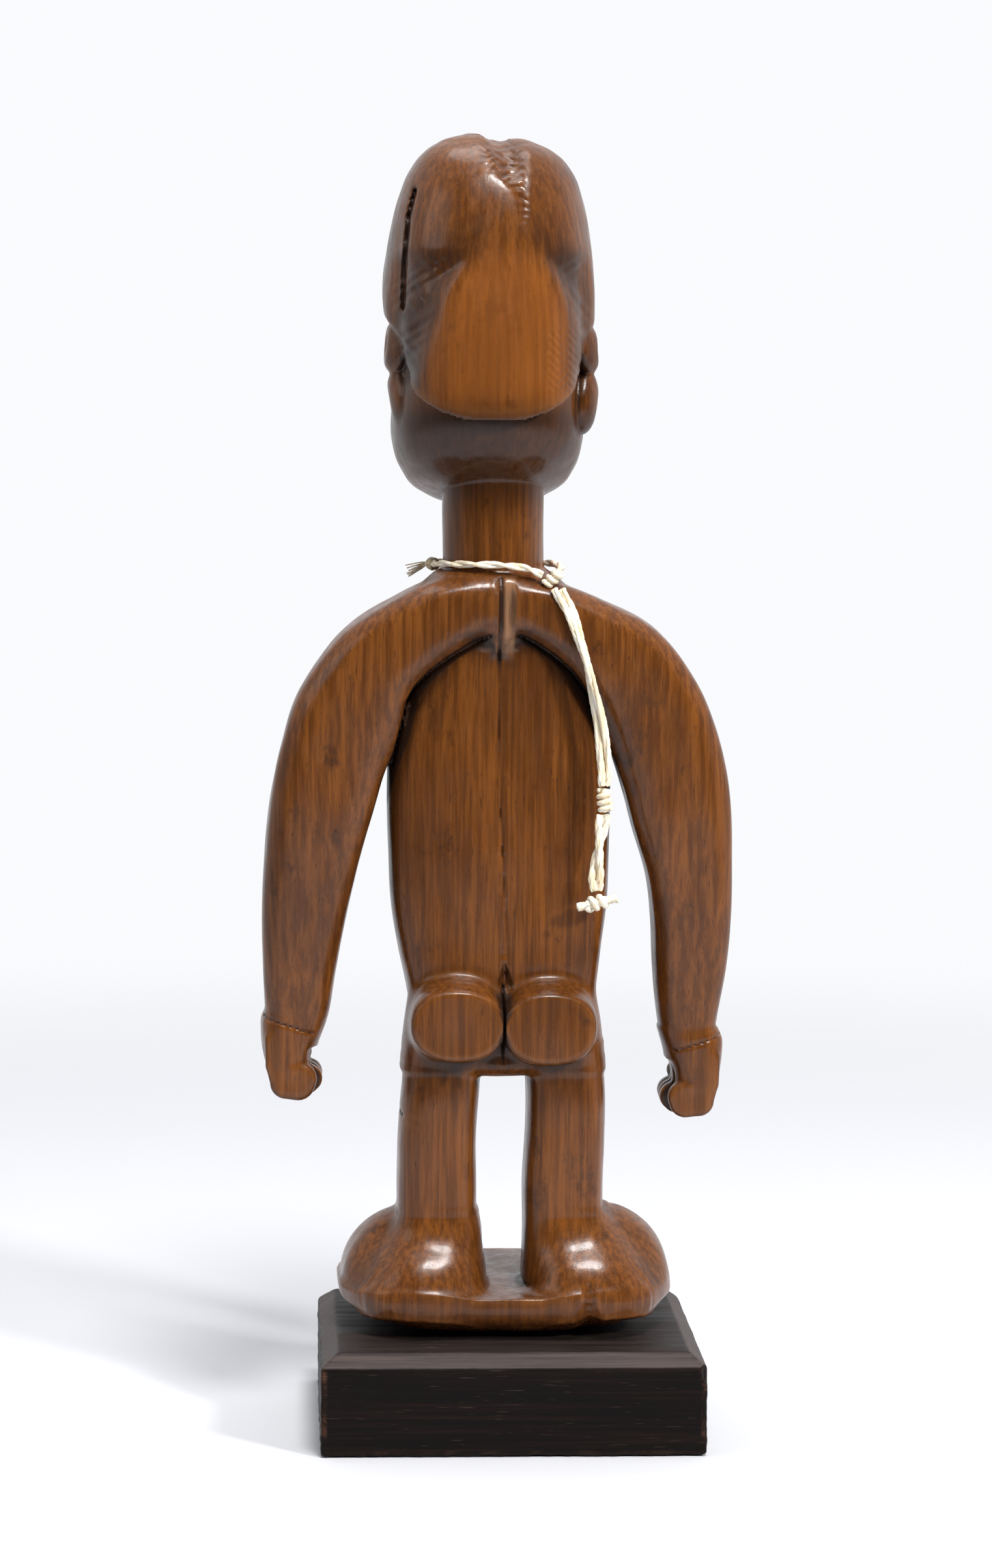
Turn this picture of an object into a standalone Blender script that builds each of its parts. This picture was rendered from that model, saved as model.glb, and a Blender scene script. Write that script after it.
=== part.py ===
"""Carved wooden fertility doll, screwed to a chamfered plinth, with a knotted raffia cord round its neck.

Metres, +Z up. The doll faces -Y and its left hand is towards +X. The origin is the middle of the
plinth's underside. Station tables are in millimetres, and MM turns them into metres.
"""

import math

import bmesh
import bpy
from mathutils import Vector

MM = 0.001
GAP = 0.3  # clearance kept between neighbouring pieces, mm

# Plinth
PLINTH_WIDTH = 110.0
PLINTH_DEPTH = 96.0
PLINTH_HEIGHT = 29.5
CHAMFER_RUN = 5.0
CHAMFER_RISE = 3.9
PLINTH_EDGE = 0.35  # softened edge

# Mounting screws, driven up through the plinth into the feet
SCREW_SPOTS = {"left": (24.0, -2.0), "right": (-20.0, -2.0)}
SCREW_SINK = 1.0  # head's depth below the plinth's underside
SCREW_LENGTH = 46.0
SCREW_HEAD_RADIUS = 3.6
SCREW_HEAD_HEIGHT = 2.6
SCREW_SHANK_RADIUS = 1.7
SCREW_ROOT_RADIUS = 1.15
SCREW_THREAD_PITCH = 2.0
SCREW_TIP = 4.0
SCREW_THREADED_FROM = 26.0
SLOT_WIDTH = 1.0
SLOT_DEPTH = 1.0

# The doll stands on the plinth
FOOT_LEVEL = PLINTH_HEIGHT + GAP
LOFT_SIDES = 20
STEPS = 2  # rings added between two stations

# Stations of an upright form: height, centre x, centre y, half width, depth behind and in front, roundness
SLAB = [
    (FOOT_LEVEL, 1.0, -7.5, 34.5, 29.0, 28.0, 3.0),
    (31.2, 1.0, -7.5, 41.0, 33.0, 32.0, 3.4),
    (34.0, 1.0, -7.5, 45.4, 35.0, 34.6, 3.8),
    (37.5, 1.0, -7.5, 48.0, 35.8, 35.4, 4.0),
    (41.3, 1.0, -7.5, 48.8, 35.4, 35.4, 4.0),
]
LEFT_LEG = [
    (50.0, 20.6, 4.5, 11.4, 12.6, 12.6, 2.8),
    (66.0, 20.6, 4.5, 11.4, 12.4, 12.4, 2.8),
    (84.0, 20.5, 4.5, 11.2, 12.6, 12.6, 2.8),
    (100.0, 19.6, 4.2, 11.1, 13.2, 13.2, 2.8),
    (112.0, 18.4, 3.0, 11.0, 13.4, 13.4, 2.8),
]
RIGHT_LEG = [
    (50.0, -16.1, 4.5, 11.7, 12.6, 12.6, 2.8),
    (66.0, -16.1, 4.5, 11.7, 12.4, 12.4, 2.8),
    (84.0, -16.5, 4.5, 11.5, 12.6, 12.6, 2.8),
    (100.0, -16.5, 4.2, 11.4, 13.2, 13.2, 2.8),
    (112.0, -15.4, 3.0, 11.2, 13.4, 13.4, 2.8),
]
TORSO = [
    (102.8, 1.2, 1.5, 26.6, 16.0, 15.0, 2.8),
    (105.0, 1.2, 1.0, 29.0, 18.4, 17.0, 2.8),
    (110.0, 1.1, 0.0, 28.6, 18.6, 18.5, 2.8),
    (117.0, 1.2, -1.5, 26.8, 18.4, 20.0, 2.9),
    (126.0, 2.0, -3.0, 26.8, 17.6, 23.0, 3.0),
    (138.0, 2.6, -4.2, 29.2, 17.6, 26.4, 3.0),
    (152.0, 3.0, -5.0, 31.2, 19.0, 27.0, 2.9),
    (168.0, 3.1, -5.0, 32.0, 19.6, 23.5, 3.0),
    (182.0, 3.2, -5.0, 32.4, 19.6, 20.8, 3.2),
    (198.0, 3.2, -5.0, 31.6, 19.6, 20.6, 3.2),
    (214.0, 3.4, -4.5, 29.0, 19.0, 19.6, 2.8),
    (230.0, 3.8, -2.0, 23.0, 15.8, 17.4, 2.5),
    (243.0, 4.6, 0.0, 16.0, 12.0, 14.0, 2.2),
]
YOKE = [
    (228.6, 4.2, 3.0, 4.0, 13.6, 12.0, 2.6),
    (232.6, 4.3, 3.0, 11.0, 15.4, 14.0, 3.0),
    (238.0, 4.5, 3.0, 17.5, 16.0, 15.0, 3.0),
    (244.0, 4.9, 2.5, 19.5, 15.4, 15.0, 2.8),
    (248.0, 5.1, 1.5, 17.6, 14.4, 14.6, 2.4),
    (250.2, 5.2, 0.5, 14.4, 12.6, 13.0, 2.1),
]
NECK = [
    (238.0, 4.9, 0.0, 14.5, 14.5, 14.5, 2.1),
    (258.0, 5.3, 0.0, 14.5, 14.5, 14.5, 2.1),
    (282.0, 5.6, 0.0, 14.7, 14.7, 14.7, 2.1),
]
NOSE = [
    (327.0, 7.2, -29.0, 2.6, 3.0, 5.4, 2.0),
    (319.0, 7.2, -29.0, 2.6, 3.0, 6.4, 2.0),
    (309.0, 7.2, -29.0, 4.0, 3.0, 9.4, 2.2),
    (303.8, 7.2, -29.0, 5.6, 3.0, 10.4, 2.3),
    (301.6, 7.2, -29.0, 4.8, 3.0, 8.6, 2.2),
]

# Stations of a leaning form: as above, with the slope of each ring, which climbs towards the face, at the end
SKULL = [
    (269.6, 6.6, -6.0, 15.0, 14.0, 15.0, 2.0, -0.16),
    (272.6, 6.9, -5.0, 20.6, 19.4, 21.4, 2.0, -0.14),
    (278.0, 7.1, -4.0, 24.6, 25.0, 26.4, 2.1, -0.1),
    (286.0, 7.2, -3.2, 27.2, 29.0, 28.8, 2.2, -0.05),
    (297.0, 7.2, -2.6, 27.4, 31.0, 28.6, 2.3, 0.0),
    (312.0, 7.2, -2.2, 26.4, 31.0, 28.4, 2.3, 0.0),
    (326.0, 7.2, -2.0, 26.4, 31.0, 28.6, 2.3, 0.0),
    (340.0, 7.1, -1.0, 25.0, 29.0, 28.6, 2.2, 0.0),
    (352.0, 7.0, 0.0, 18.0, 21.0, 22.0, 2.1, 0.0),
]
HAIR = [
    (318.8, 7.2, -1.0, 24.0, 28.5, 25.0, 2.3, 0.74),
    (319.4, 7.2, -1.0, 28.6, 32.4, 29.2, 2.3, 0.74),
    (322.4, 7.2, -1.0, 29.8, 34.0, 30.2, 2.3, 0.72),
    (329.6, 7.25, -1.0, 30.2, 34.8, 31.0, 2.3, 0.66),
    (337.6, 7.2, -0.8, 29.4, 34.8, 31.4, 2.3, 0.55),
    (347.0, 7.1, -0.5, 27.8, 32.6, 30.4, 2.3, 0.38),
    (355.6, 7.1, 0.0, 25.4, 27.6, 27.0, 2.25, 0.2),
    (361.6, 7.1, 0.4, 21.0, 20.6, 21.0, 2.2, 0.05),
    (365.6, 6.9, 0.6, 13.6, 12.0, 13.0, 2.1, 0.0),
    (367.2, 6.8, 0.6, 5.0, 5.0, 5.0, 2.0, 0.0),
]

# Arms: centre x, y, z, half width in the frontal plane, half depth, roundness
LEFT_ARM = [
    (5.8, 6.0, 240.0, 8.0, 12.0, 3.0),
    (16.0, 6.2, 236.8, 11.4, 13.2, 3.0),
    (27.0, 6.2, 230.0, 13.3, 13.4, 3.2),
    (38.0, 5.6, 220.3, 14.3, 13.2, 3.2),
    (46.5, 4.8, 208.0, 14.6, 12.8, 3.2),
    (52.0, 4.0, 194.0, 14.7, 12.5, 3.2),
    (55.1, 3.2, 178.5, 14.5, 12.2, 3.2),
    (57.6, 2.2, 162.5, 13.3, 11.6, 3.0),
    (59.5, 1.2, 148.0, 11.9, 10.9, 3.0),
    (60.7, 0.2, 134.0, 10.5, 10.0, 3.0),
    (61.5, -0.8, 121.0, 9.3, 9.0, 2.8),
    (62.3, -1.4, 112.0, 7.4, 8.0, 2.4),
]
RIGHT_ARM = [
    (3.8, 6.0, 240.0, 8.0, 12.0, 3.0),
    (-8.0, 6.2, 237.2, 11.2, 13.2, 3.0),
    (-19.5, 6.2, 231.0, 13.3, 13.4, 3.2),
    (-31.0, 5.6, 221.3, 14.3, 13.2, 3.2),
    (-40.0, 4.8, 208.8, 14.6, 12.8, 3.2),
    (-46.0, 4.0, 194.0, 14.7, 12.5, 3.2),
    (-49.3, 3.2, 178.5, 14.2, 12.2, 3.2),
    (-51.8, 2.2, 163.0, 12.2, 11.6, 3.0),
    (-52.5, 1.2, 148.0, 11.1, 10.9, 3.0),
    (-52.4, 0.2, 134.0, 10.2, 10.0, 3.0),
    (-52.3, -0.8, 120.0, 8.8, 9.0, 2.8),
    (-52.8, -1.4, 108.0, 7.0, 8.0, 2.4),
]
ARM_SIDES = 16

# Fists: height, centre x, centre y, half width, depth behind and in front, roundness
LEFT_FIST = [
    (118.4, 63.0, -2.4, 8.4, 8.2, 8.8, 2.4),
    (116.6, 63.5, -2.4, 8.7, 9.2, 9.8, 2.6),
    (110.0, 63.9, -2.6, 7.9, 9.6, 10.2, 2.8),
    (104.0, 63.3, -2.8, 7.8, 9.8, 10.4, 2.8),
    (99.5, 61.9, -3.0, 7.2, 9.6, 10.2, 2.8),
    (96.9, 60.9, -3.0, 5.6, 8.8, 9.4, 2.6),
    (95.8, 60.6, -3.0, 3.6, 7.0, 7.6, 2.4),
]
RIGHT_FIST = [(z - 5.4, 9.2 - x, *rest) for z, x, *rest in LEFT_FIST]
FINGER_HALF_SIZES = (5.6, 2.7, 5.4)
FINGER_SPREAD = (-10.03, -5.26, -0.41, 4.37)  # distance y of each curled finger
FINGER_STEP = 0.31  # how much higher each next finger sits
LEFT_FINGERS = (57.5, 101.65)
RIGHT_FINGERS = (-48.3, 96.15)

# Feet: distance y, centre x, reach outwards and inwards, height of the instep above FOOT_CENTRE, roundness
FOOT_CENTRE = 39.0
FOOT_DEPTH = 4.0
FOOT = [
    (27.6, 24.0, 12.0, 11.0, 5.0, 2.4),
    (25.8, 24.4, 17.4, 14.0, 12.0, 2.4),
    (21.0, 25.2, 20.4, 15.8, 17.6, 2.3),
    (12.0, 26.6, 22.0, 17.2, 21.4, 2.2),
    (0.0, 27.5, 22.1, 18.4, 23.0, 2.2),
    (-14.0, 28.0, 21.0, 19.6, 18.8, 2.2),
    (-26.0, 28.0, 19.4, 20.0, 12.6, 2.3),
    (-34.5, 27.6, 17.6, 18.6, 7.8, 2.5),
    (-38.5, 27.0, 15.0, 16.0, 5.0, 2.6),
]
LEFT_FOOT_SHIFT = 0.0
RIGHT_FOOT_SHIFT = 3.0
TOE_HALF_SIZES = (3.3, 5.2, 4.4)
TOES = [(14.0, -38.0), (20.9, -38.9), (27.7, -38.9), (34.4, -37.6), (40.6, -34.6)]
TOE_HEIGHT = 42.75

# Buttocks: distance y, half width, half height, rise of the centre
LEFT_BUTTOCK_CENTRE = (15.9, 119.6)
RIGHT_BUTTOCK_CENTRE = (-11.6, 118.8)
BUTTOCK = [
    (6.0, 13.6, 14.2, 3.6),
    (14.0, 14.0, 14.8, 3.0),
    (18.6, 13.8, 13.8, 1.7),
    (22.0, 13.1, 12.3, 0.6),
    (24.2, 11.9, 10.9, 0.1),
    (25.2, 10.2, 9.2, 0.0),
]

# Ellipsoids: centre and half sizes
HEAD_PARTS = {
    "left_crown": ((15.1, 0.4, 350.6), (15.6, 24.6, 22.4)),
    "right_crown": ((-1.7, 0.4, 350.2), (14.8, 24.6, 21.5)),
    "nape_panel": ((7.0, 13.4, 318.4), (20.5, 23.2, 22.6)),
    "left_ear": ((32.8, 1.0, 312.0), (4.7, 6.6, 9.0)),
    "left_lobe": ((32.4, -0.5, 298.2), (3.5, 5.0, 9.4)),
    "right_ear": ((-19.6, 1.0, 311.4), (5.2, 6.6, 7.8)),
    "right_lobe": ((-19.6, -0.5, 297.2), (4.5, 5.0, 9.0)),
}
FACE_PARTS = {
    "left_brow": ((17.6, -24.8, 325.6), (10.5, 7.0, 3.2)),
    "right_brow": ((-3.4, -24.8, 325.6), (10.5, 7.0, 3.2)),
    "left_eye": ((17.4, -26.2, 317.6), (6.6, 5.0, 3.6)),
    "right_eye": ((-3.2, -26.2, 317.6), (6.6, 5.0, 3.6)),
    "upper_lip": ((7.2, -27.6, 294.9), (8.0, 5.4, 2.1)),
    "lower_lip": ((7.2, -27.2, 291.3), (6.8, 5.4, 2.2)),
    "chin": ((7.0, -21.0, 279.4), (9.5, 10.4, 8.6)),
}
CHEST_PARTS = {
    "left_breast": ((17.4, -17.0, 200.0), (12.4, 12.0, 12.0)),
    "right_breast": ((-11.0, -17.0, 200.0), (12.4, 12.0, 12.0)),
    "navel": ((3.0, -30.4, 148.0), (3.2, 4.0, 3.2)),
}

# Cord of two-ply raffia round the neck
LOOP_CENTRE = (5.2, 0.0, 250.5)
CORD_RADIUS = 1.15
STRAND_RADIUS = 1.0
NECK_KNOT = (-10.4, 18.6, 247.2)
NECK_KNOT_SIZE = (2.5, 2.3, 2.4)
TIE_KNOT = (22.8, -3.6, 250.2)
TIE_KNOT_SIZE = (2.0, 2.3, 2.0)
BACK_CORD = [
    (22.6, -0.8, 250.4),
    (21.8, 5.0, 250.7),
    (18.4, 11.4, 250.9),
    (12.4, 16.0, 251.0),
    (4.6, 18.6, 251.0),
    (-2.8, 19.3, 250.2),
    (-7.5, 19.1, 248.3),
]
FRONT_CORD = [
    (-12.2, 15.9, 248.6),
    (-13.4, 10.0, 249.8),
    (-12.6, 0.0, 250.4),
    (-9.0, -9.6, 250.5),
    (-2.0, -15.6, 250.5),
    (6.0, -17.3, 250.5),
    (14.4, -14.6, 250.5),
    (20.0, -9.4, 250.4),
    (21.6, -6.5, 250.3),
]
MIDDLE_KNOT = (-25.5, 22.8, 184.4)
MIDDLE_KNOT_SIZE = (2.5, 2.4, 3.8)
END_KNOT = (-23.7, 22.6, 155.2)
UPPER_TAIL = [
    (-11.9, 20.7, 244.4),
    (-15.7, 22.4, 237.0),
    (-19.3, 22.9, 226.4),
    (-22.4, 23.0, 214.4),
    (-24.8, 23.0, 201.7),
    (-25.6, 22.9, 192.6),
    (-25.5, 22.8, 188.6),
]
LOWER_TAIL = [
    (-25.3, 22.8, 180.2),
    (-24.6, 22.7, 174.0),
    (-23.8, 22.6, 168.0),
    (-23.4, 22.6, 162.0),
    (-23.6, 22.6, 158.6),
]
STRAND_TURN = 1.3  # half turns that the two strands of the tail make round each other
# End knot: distance x from its centre, half height, half depth
END_KNOT_STATIONS = [
    (6.0, 1.5, 1.4),
    (4.6, 2.6, 2.4),
    (2.2, 2.4, 2.3),
    (0.4, 2.9, 2.7),
    (-1.8, 2.6, 2.5),
    (-4.6, 2.2, 2.0),
    (-6.2, 1.1, 1.1),
]
END_KNOT_RISE = 0.24  # its slope: the right end is higher
# Frayed end: centre and radius, from the knot outwards
FRAYED_END = [
    ((24.9, -5.2, 250.0), 0.9),
    ((26.4, -5.7, 249.4), 1.4),
    ((28.2, -6.3, 248.6), 1.8),
    ((30.2, -7.0, 247.8), 2.1),
]


def new_collection(name):
    made = bpy.data.collections.new(name)
    bpy.context.scene.collection.children.link(made)
    return made


def clear_scene():
    for obj in list(bpy.data.objects):
        bpy.data.objects.remove(obj)


def material(name, colour, roughness, metallic=0.0):
    made = bpy.data.materials.new(name)
    made.use_nodes = True
    shader = made.node_tree.nodes["Principled BSDF"]
    shader.inputs["Base Color"].default_value = (*colour, 1.0)
    shader.inputs["Roughness"].default_value = roughness
    shader.inputs["Metallic"].default_value = metallic
    return made


def add_object(name, data, collection, finish=None):
    obj = bpy.data.objects.new(name, data)
    collection.objects.link(obj)
    if finish:
        data.materials.append(finish)
    return obj


def hide_helper(obj):
    obj.hide_render = True
    obj.display_type = "WIRE"
    return obj


def mesh_from(name, work):
    """Ends a bmesh as a mesh with outward faces, shaded smooth but for its sharp edges."""
    bmesh.ops.recalc_face_normals(work, faces=work.faces)
    mesh = bpy.data.meshes.new(name)
    work.to_mesh(mesh)
    work.free()
    mesh.shade_smooth()
    mesh.set_sharp_from_angle(angle=math.radians(40))
    return mesh


def smooth_rows(rows, steps):
    """The rows with steps - 1 more between each pair, on a cubic through them all."""
    lengths = [0.0]
    for a, b in zip(rows, rows[1:]):
        lengths.append(lengths[-1] + max(math.dist(a[:3], b[:3]), 1e-6))

    def slope(i, column):
        low, high = max(i - 1, 0), min(i + 1, len(rows) - 1)
        return (rows[high][column] - rows[low][column]) / (lengths[high] - lengths[low])

    dense = []
    for i in range(len(rows) - 1):
        span = lengths[i + 1] - lengths[i]
        for step in range(steps):
            t = step / steps
            row = []
            for column in range(len(rows[0])):
                start, end = rows[i][column], rows[i + 1][column]
                row.append(
                    (2 * t**3 - 3 * t**2 + 1) * start
                    + (t**3 - 2 * t**2 + t) * span * slope(i, column)
                    + (3 * t**2 - 2 * t**3) * end
                    + (t**3 - t**2) * span * slope(i + 1, column)
                )
            dense.append(row)
    dense.append(list(rows[-1]))
    return dense


def superellipse(sides, roundness):
    """Unit points round a superellipse, where a roundness of 2 is a circle and more is squarer."""
    points = []
    for k in range(sides):
        angle = math.tau * (k + 0.5) / sides
        c, s = math.cos(angle), math.sin(angle)
        scale = (abs(c) ** roundness + abs(s) ** roundness) ** (-1 / roundness)
        points.append((c * scale, s * scale))
    return points


def ring_points(centre, across, up, widths, roundness, sides):
    """A closed section: widths are its reach along +across, -across, +up and -up."""
    right, left, above, below = widths
    points = []
    for x, y in superellipse(sides, roundness):
        reach_x = right if x > 0 else left
        reach_y = above if y > 0 else below
        points.append((centre + across * x * reach_x + up * y * reach_y) * MM)
    return points


def loft(name, rings, collection, finish=None):
    """A closed solid skinned over rings that have the same number of points."""
    work = bmesh.new()
    made = [[work.verts.new(point) for point in ring] for ring in rings]
    for lower, upper in zip(made, made[1:]):
        for k in range(len(lower)):
            after = (k + 1) % len(lower)
            work.faces.new((lower[k], lower[after], upper[after], upper[k]))
    work.faces.new(made[0][::-1])
    work.faces.new(made[-1])
    return add_object(name, mesh_from(name, work), collection, finish)


def upright_form(name, stations, collection, sides=LOFT_SIDES, steps=STEPS, finish=None):
    """A form of rings stacked in height, which lean by their slope where the table gives one."""
    rings = []
    for z, x, y, half_width, behind, front, roundness, *slope in smooth_rows(stations, steps):
        widths = (half_width, half_width, behind, front)
        leaning = Vector((0, 1, -slope[0] if slope else 0))
        centre = Vector((x, y, z))
        rings.append(ring_points(centre, Vector((1, 0, 0)), leaning, widths, roundness, sides))
    return loft(name, rings, collection, finish)


def arm_form(name, stations, collection):
    """A limb along a curve in a frontal plane, each ring square to the curve."""
    rows = smooth_rows(stations, STEPS)
    rings = []
    for i, (x, y, z, half_width, half_depth, roundness) in enumerate(rows):
        before, after = rows[max(i - 1, 0)], rows[min(i + 1, len(rows) - 1)]
        along = Vector((after[0] - before[0], 0, after[2] - before[2])).normalized()
        across = Vector((0, 1, 0)).cross(along)
        widths = (half_width, half_width, half_depth, half_depth)
        rings.append(ring_points(Vector((x, y, z)), across, Vector((0, 1, 0)), widths, roundness, ARM_SIDES))
    return loft(name, rings, collection)


def foot_form(side, sign, shift, collection):
    """A foot with its heel, instep and five toes, where sign is 1 for the left and -1 for the right."""
    outwards = Vector((sign, 0, 0))
    rings = []
    for y, x, outer, inner, height, roundness in smooth_rows(FOOT, STEPS):
        widths = (outer, inner, height, FOOT_DEPTH)
        centre = Vector((shift + sign * x, y, FOOT_CENTRE))
        rings.append(ring_points(centre, outwards, Vector((0, 0, 1)), widths, roundness, 18))
    loft(f"{side}_foot_form", rings, collection)
    for number, (x, y) in enumerate(TOES, start=1):
        centre = (shift + sign * x, y, TOE_HEIGHT)
        ellipsoid(f"{side}_toe_{number}_form", centre, TOE_HALF_SIZES, collection, segments=8)


def buttock_form(name, middle, collection):
    rings = []
    for y, half_width, half_height, rise in smooth_rows(BUTTOCK, STEPS):
        widths = (half_width, half_width, half_height, half_height)
        centre = Vector((middle[0], y, middle[1] + rise))
        rings.append(ring_points(centre, Vector((1, 0, 0)), Vector((0, 0, 1)), widths, 2.25, 20))
    return loft(name, rings, collection)


def fist_form(side, stations, fingers, collection):
    """A hand closed round four curled fingers, whose ends show on its inner side."""
    upright_form(f"{side}_fist_form", stations, collection, sides=16)
    for number, y in enumerate(FINGER_SPREAD, start=1):
        centre = (fingers[0], y, fingers[1] + FINGER_STEP * number)
        ellipsoid(f"{side}_finger_{number}_form", centre, FINGER_HALF_SIZES, collection, segments=8)


def ellipsoid(name, centre, half_sizes, collection, finish=None, segments=14):
    work = bmesh.new()
    bmesh.ops.create_uvsphere(work, u_segments=segments, v_segments=segments // 2, radius=1.0)
    bmesh.ops.scale(work, vec=[size * MM for size in half_sizes], verts=work.verts)
    obj = add_object(name, mesh_from(name, work), collection, finish)
    obj.location = Vector(centre) * MM
    return obj


def cut(target, cutter):
    modifier = target.modifiers.new(f"less_{cutter.name}", "BOOLEAN")
    modifier.operation = "DIFFERENCE"
    modifier.object = cutter
    modifier.solver = "EXACT"


def turned(name, place, outline, steps, collection, finish=None):
    """A lathe-turned solid: its outline of radii and heights runs from the axis, top first, back to the axis."""
    work = bmesh.new()
    points = [work.verts.new((radius * MM, 0, height * MM)) for radius, height in outline]
    for a, b in zip(points, points[1:]):
        work.edges.new((a, b))
    mesh = bpy.data.meshes.new(name)
    work.to_mesh(mesh)
    work.free()
    obj = add_object(name, mesh, collection, finish)
    obj.location = Vector((*place, 0.0)) * MM
    screw = obj.modifiers.new("turned", "SCREW")
    screw.steps = steps
    screw.render_steps = steps
    screw.use_merge_vertices = True
    screw.merge_threshold = 0.00002
    return obj


def make_figure(parts, forms, cutters, finish):
    """The doll: one carved block, whose torso is united here with every other form."""
    figure = upright_form("figure", TORSO, parts, finish=finish)
    upright_form("slab_form", SLAB, forms, sides=36, steps=1)
    for side, sign, shift, leg in (
        ("left", 1, LEFT_FOOT_SHIFT, LEFT_LEG),
        ("right", -1, RIGHT_FOOT_SHIFT, RIGHT_LEG),
    ):
        upright_form(f"{side}_leg_form", leg, forms, sides=16, steps=1)
        foot_form(side, sign, shift, forms)
    for side, middle, arm, fist, fingers in (
        ("left", LEFT_BUTTOCK_CENTRE, LEFT_ARM, LEFT_FIST, LEFT_FINGERS),
        ("right", RIGHT_BUTTOCK_CENTRE, RIGHT_ARM, RIGHT_FIST, RIGHT_FINGERS),
    ):
        buttock_form(f"{side}_buttock_form", middle, forms)
        arm_form(f"{side}_arm_form", arm, forms)
        fist_form(side, fist, fingers, forms)
    upright_form("yoke_form", YOKE, forms, sides=20)
    upright_form("neck_form", NECK, forms, sides=20, steps=1)
    upright_form("skull_form", SKULL, forms)
    upright_form("hair_form", HAIR, forms)
    upright_form("nose_form", NOSE, forms, sides=12, steps=1)
    for name, (centre, half_sizes) in HEAD_PARTS.items():
        ellipsoid(f"{name}_form", centre, half_sizes, forms)
    for name, (centre, half_sizes) in {**FACE_PARTS, **CHEST_PARTS}.items():
        ellipsoid(f"{name}_form", centre, half_sizes, forms)
    for form in forms.objects:
        hide_helper(form)
    union = figure.modifiers.new("united_forms", "BOOLEAN")
    union.operation = "UNION"
    union.operand_type = "COLLECTION"
    union.collection = forms
    union.solver = "EXACT"
    for side, place in SCREW_SPOTS.items():
        radius = SCREW_SHANK_RADIUS + GAP
        top = SCREW_SINK + SCREW_LENGTH + GAP
        outline = [(0.0, top), (radius, top), (radius, 20.0), (0.0, 20.0)]
        cut(figure, hide_helper(turned(f"{side}_pilot_hole", place, outline, 24, cutters)))
    return figure


def make_plinth(parts, cutters, finish):
    """A block whose upper edges are planed to a chamfer, bored from below for the screws."""
    wall_height = PLINTH_HEIGHT - CHAMFER_RISE
    work = bmesh.new()
    bmesh.ops.create_cube(work, size=1.0)
    bmesh.ops.translate(work, vec=(0, 0, 0.5), verts=work.verts)
    bmesh.ops.scale(work, vec=(PLINTH_WIDTH * MM, PLINTH_DEPTH * MM, wall_height * MM), verts=work.verts)
    top = [face for face in work.faces if face.normal.z > 0.5]
    raised = bmesh.ops.extrude_face_region(work, geom=top)
    bmesh.ops.delete(work, geom=top, context="FACES_ONLY")
    corners = [item for item in raised["geom"] if isinstance(item, bmesh.types.BMVert)]
    bmesh.ops.translate(work, vec=(0, 0, CHAMFER_RISE * MM), verts=corners)
    shrink = (1 - 2 * CHAMFER_RUN / PLINTH_WIDTH, 1 - 2 * CHAMFER_RUN / PLINTH_DEPTH, 1)
    bmesh.ops.scale(work, vec=shrink, verts=corners)
    plinth = add_object("plinth", mesh_from("plinth", work), parts, finish)
    edge = plinth.modifiers.new("softened_edges", "BEVEL")
    edge.width = PLINTH_EDGE * MM
    edge.segments = 2
    for side, place in SCREW_SPOTS.items():
        shank = SCREW_SHANK_RADIUS + GAP
        mouth = SCREW_HEAD_RADIUS + 2 * GAP
        seat_bottom = SCREW_SINK + GAP
        seat_top = SCREW_SINK + SCREW_HEAD_HEIGHT + 2 * GAP
        outline = [(0.0, PLINTH_HEIGHT + 5.0), (shank, PLINTH_HEIGHT + 5.0), (shank, seat_top)]
        outline += [(mouth, seat_bottom), (mouth, -5.0), (0.0, -5.0)]
        cut(plinth, hide_helper(turned(f"{side}_screw_hole", place, outline, 24, cutters)))
    return plinth


def screw_outline():
    """Half outline of a countersunk wood screw: radii and heights from its tip down to its head."""
    tip = SCREW_SINK + SCREW_LENGTH
    outline = [(0.0, tip), (0.35, tip - 0.3)]
    height = tip - SCREW_TIP * 0.25
    while height > SCREW_THREADED_FROM:
        taper = min(1.0, (tip - height) / SCREW_TIP)
        outline.append((SCREW_ROOT_RADIUS * taper, height))
        outline.append((SCREW_SHANK_RADIUS * taper, height - SCREW_THREAD_PITCH / 2))
        height -= SCREW_THREAD_PITCH
    outline.append((SCREW_ROOT_RADIUS, height))
    outline.append((SCREW_SHANK_RADIUS, height - SCREW_THREAD_PITCH))
    outline.append((SCREW_SHANK_RADIUS, SCREW_SINK + SCREW_HEAD_HEIGHT))
    outline.append((SCREW_HEAD_RADIUS, SCREW_SINK + 0.25))
    outline.append((SCREW_HEAD_RADIUS, SCREW_SINK))
    outline.append((0.0, SCREW_SINK))
    return outline


def make_screw(side, place, parts, cutters, finish):
    """A turned screw, head down, with a slot for the driver."""
    obj = turned(f"mount_screw_{side}", place, screw_outline(), 12, parts, finish)
    slot_work = bmesh.new()
    bmesh.ops.create_cube(slot_work, size=1.0)
    slot_size = (SCREW_HEAD_RADIUS * 3 * MM, SLOT_WIDTH * MM, SLOT_DEPTH * 2 * MM)
    bmesh.ops.scale(slot_work, vec=slot_size, verts=slot_work.verts)
    slot = add_object(f"{side}_driver_slot", mesh_from("driver_slot", slot_work), cutters)
    slot.location = Vector((*place, SCREW_SINK)) * MM
    slot.rotation_euler.z = math.radians(25 if side == "left" else 70)
    cut(obj, hide_helper(slot))
    return obj


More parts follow.
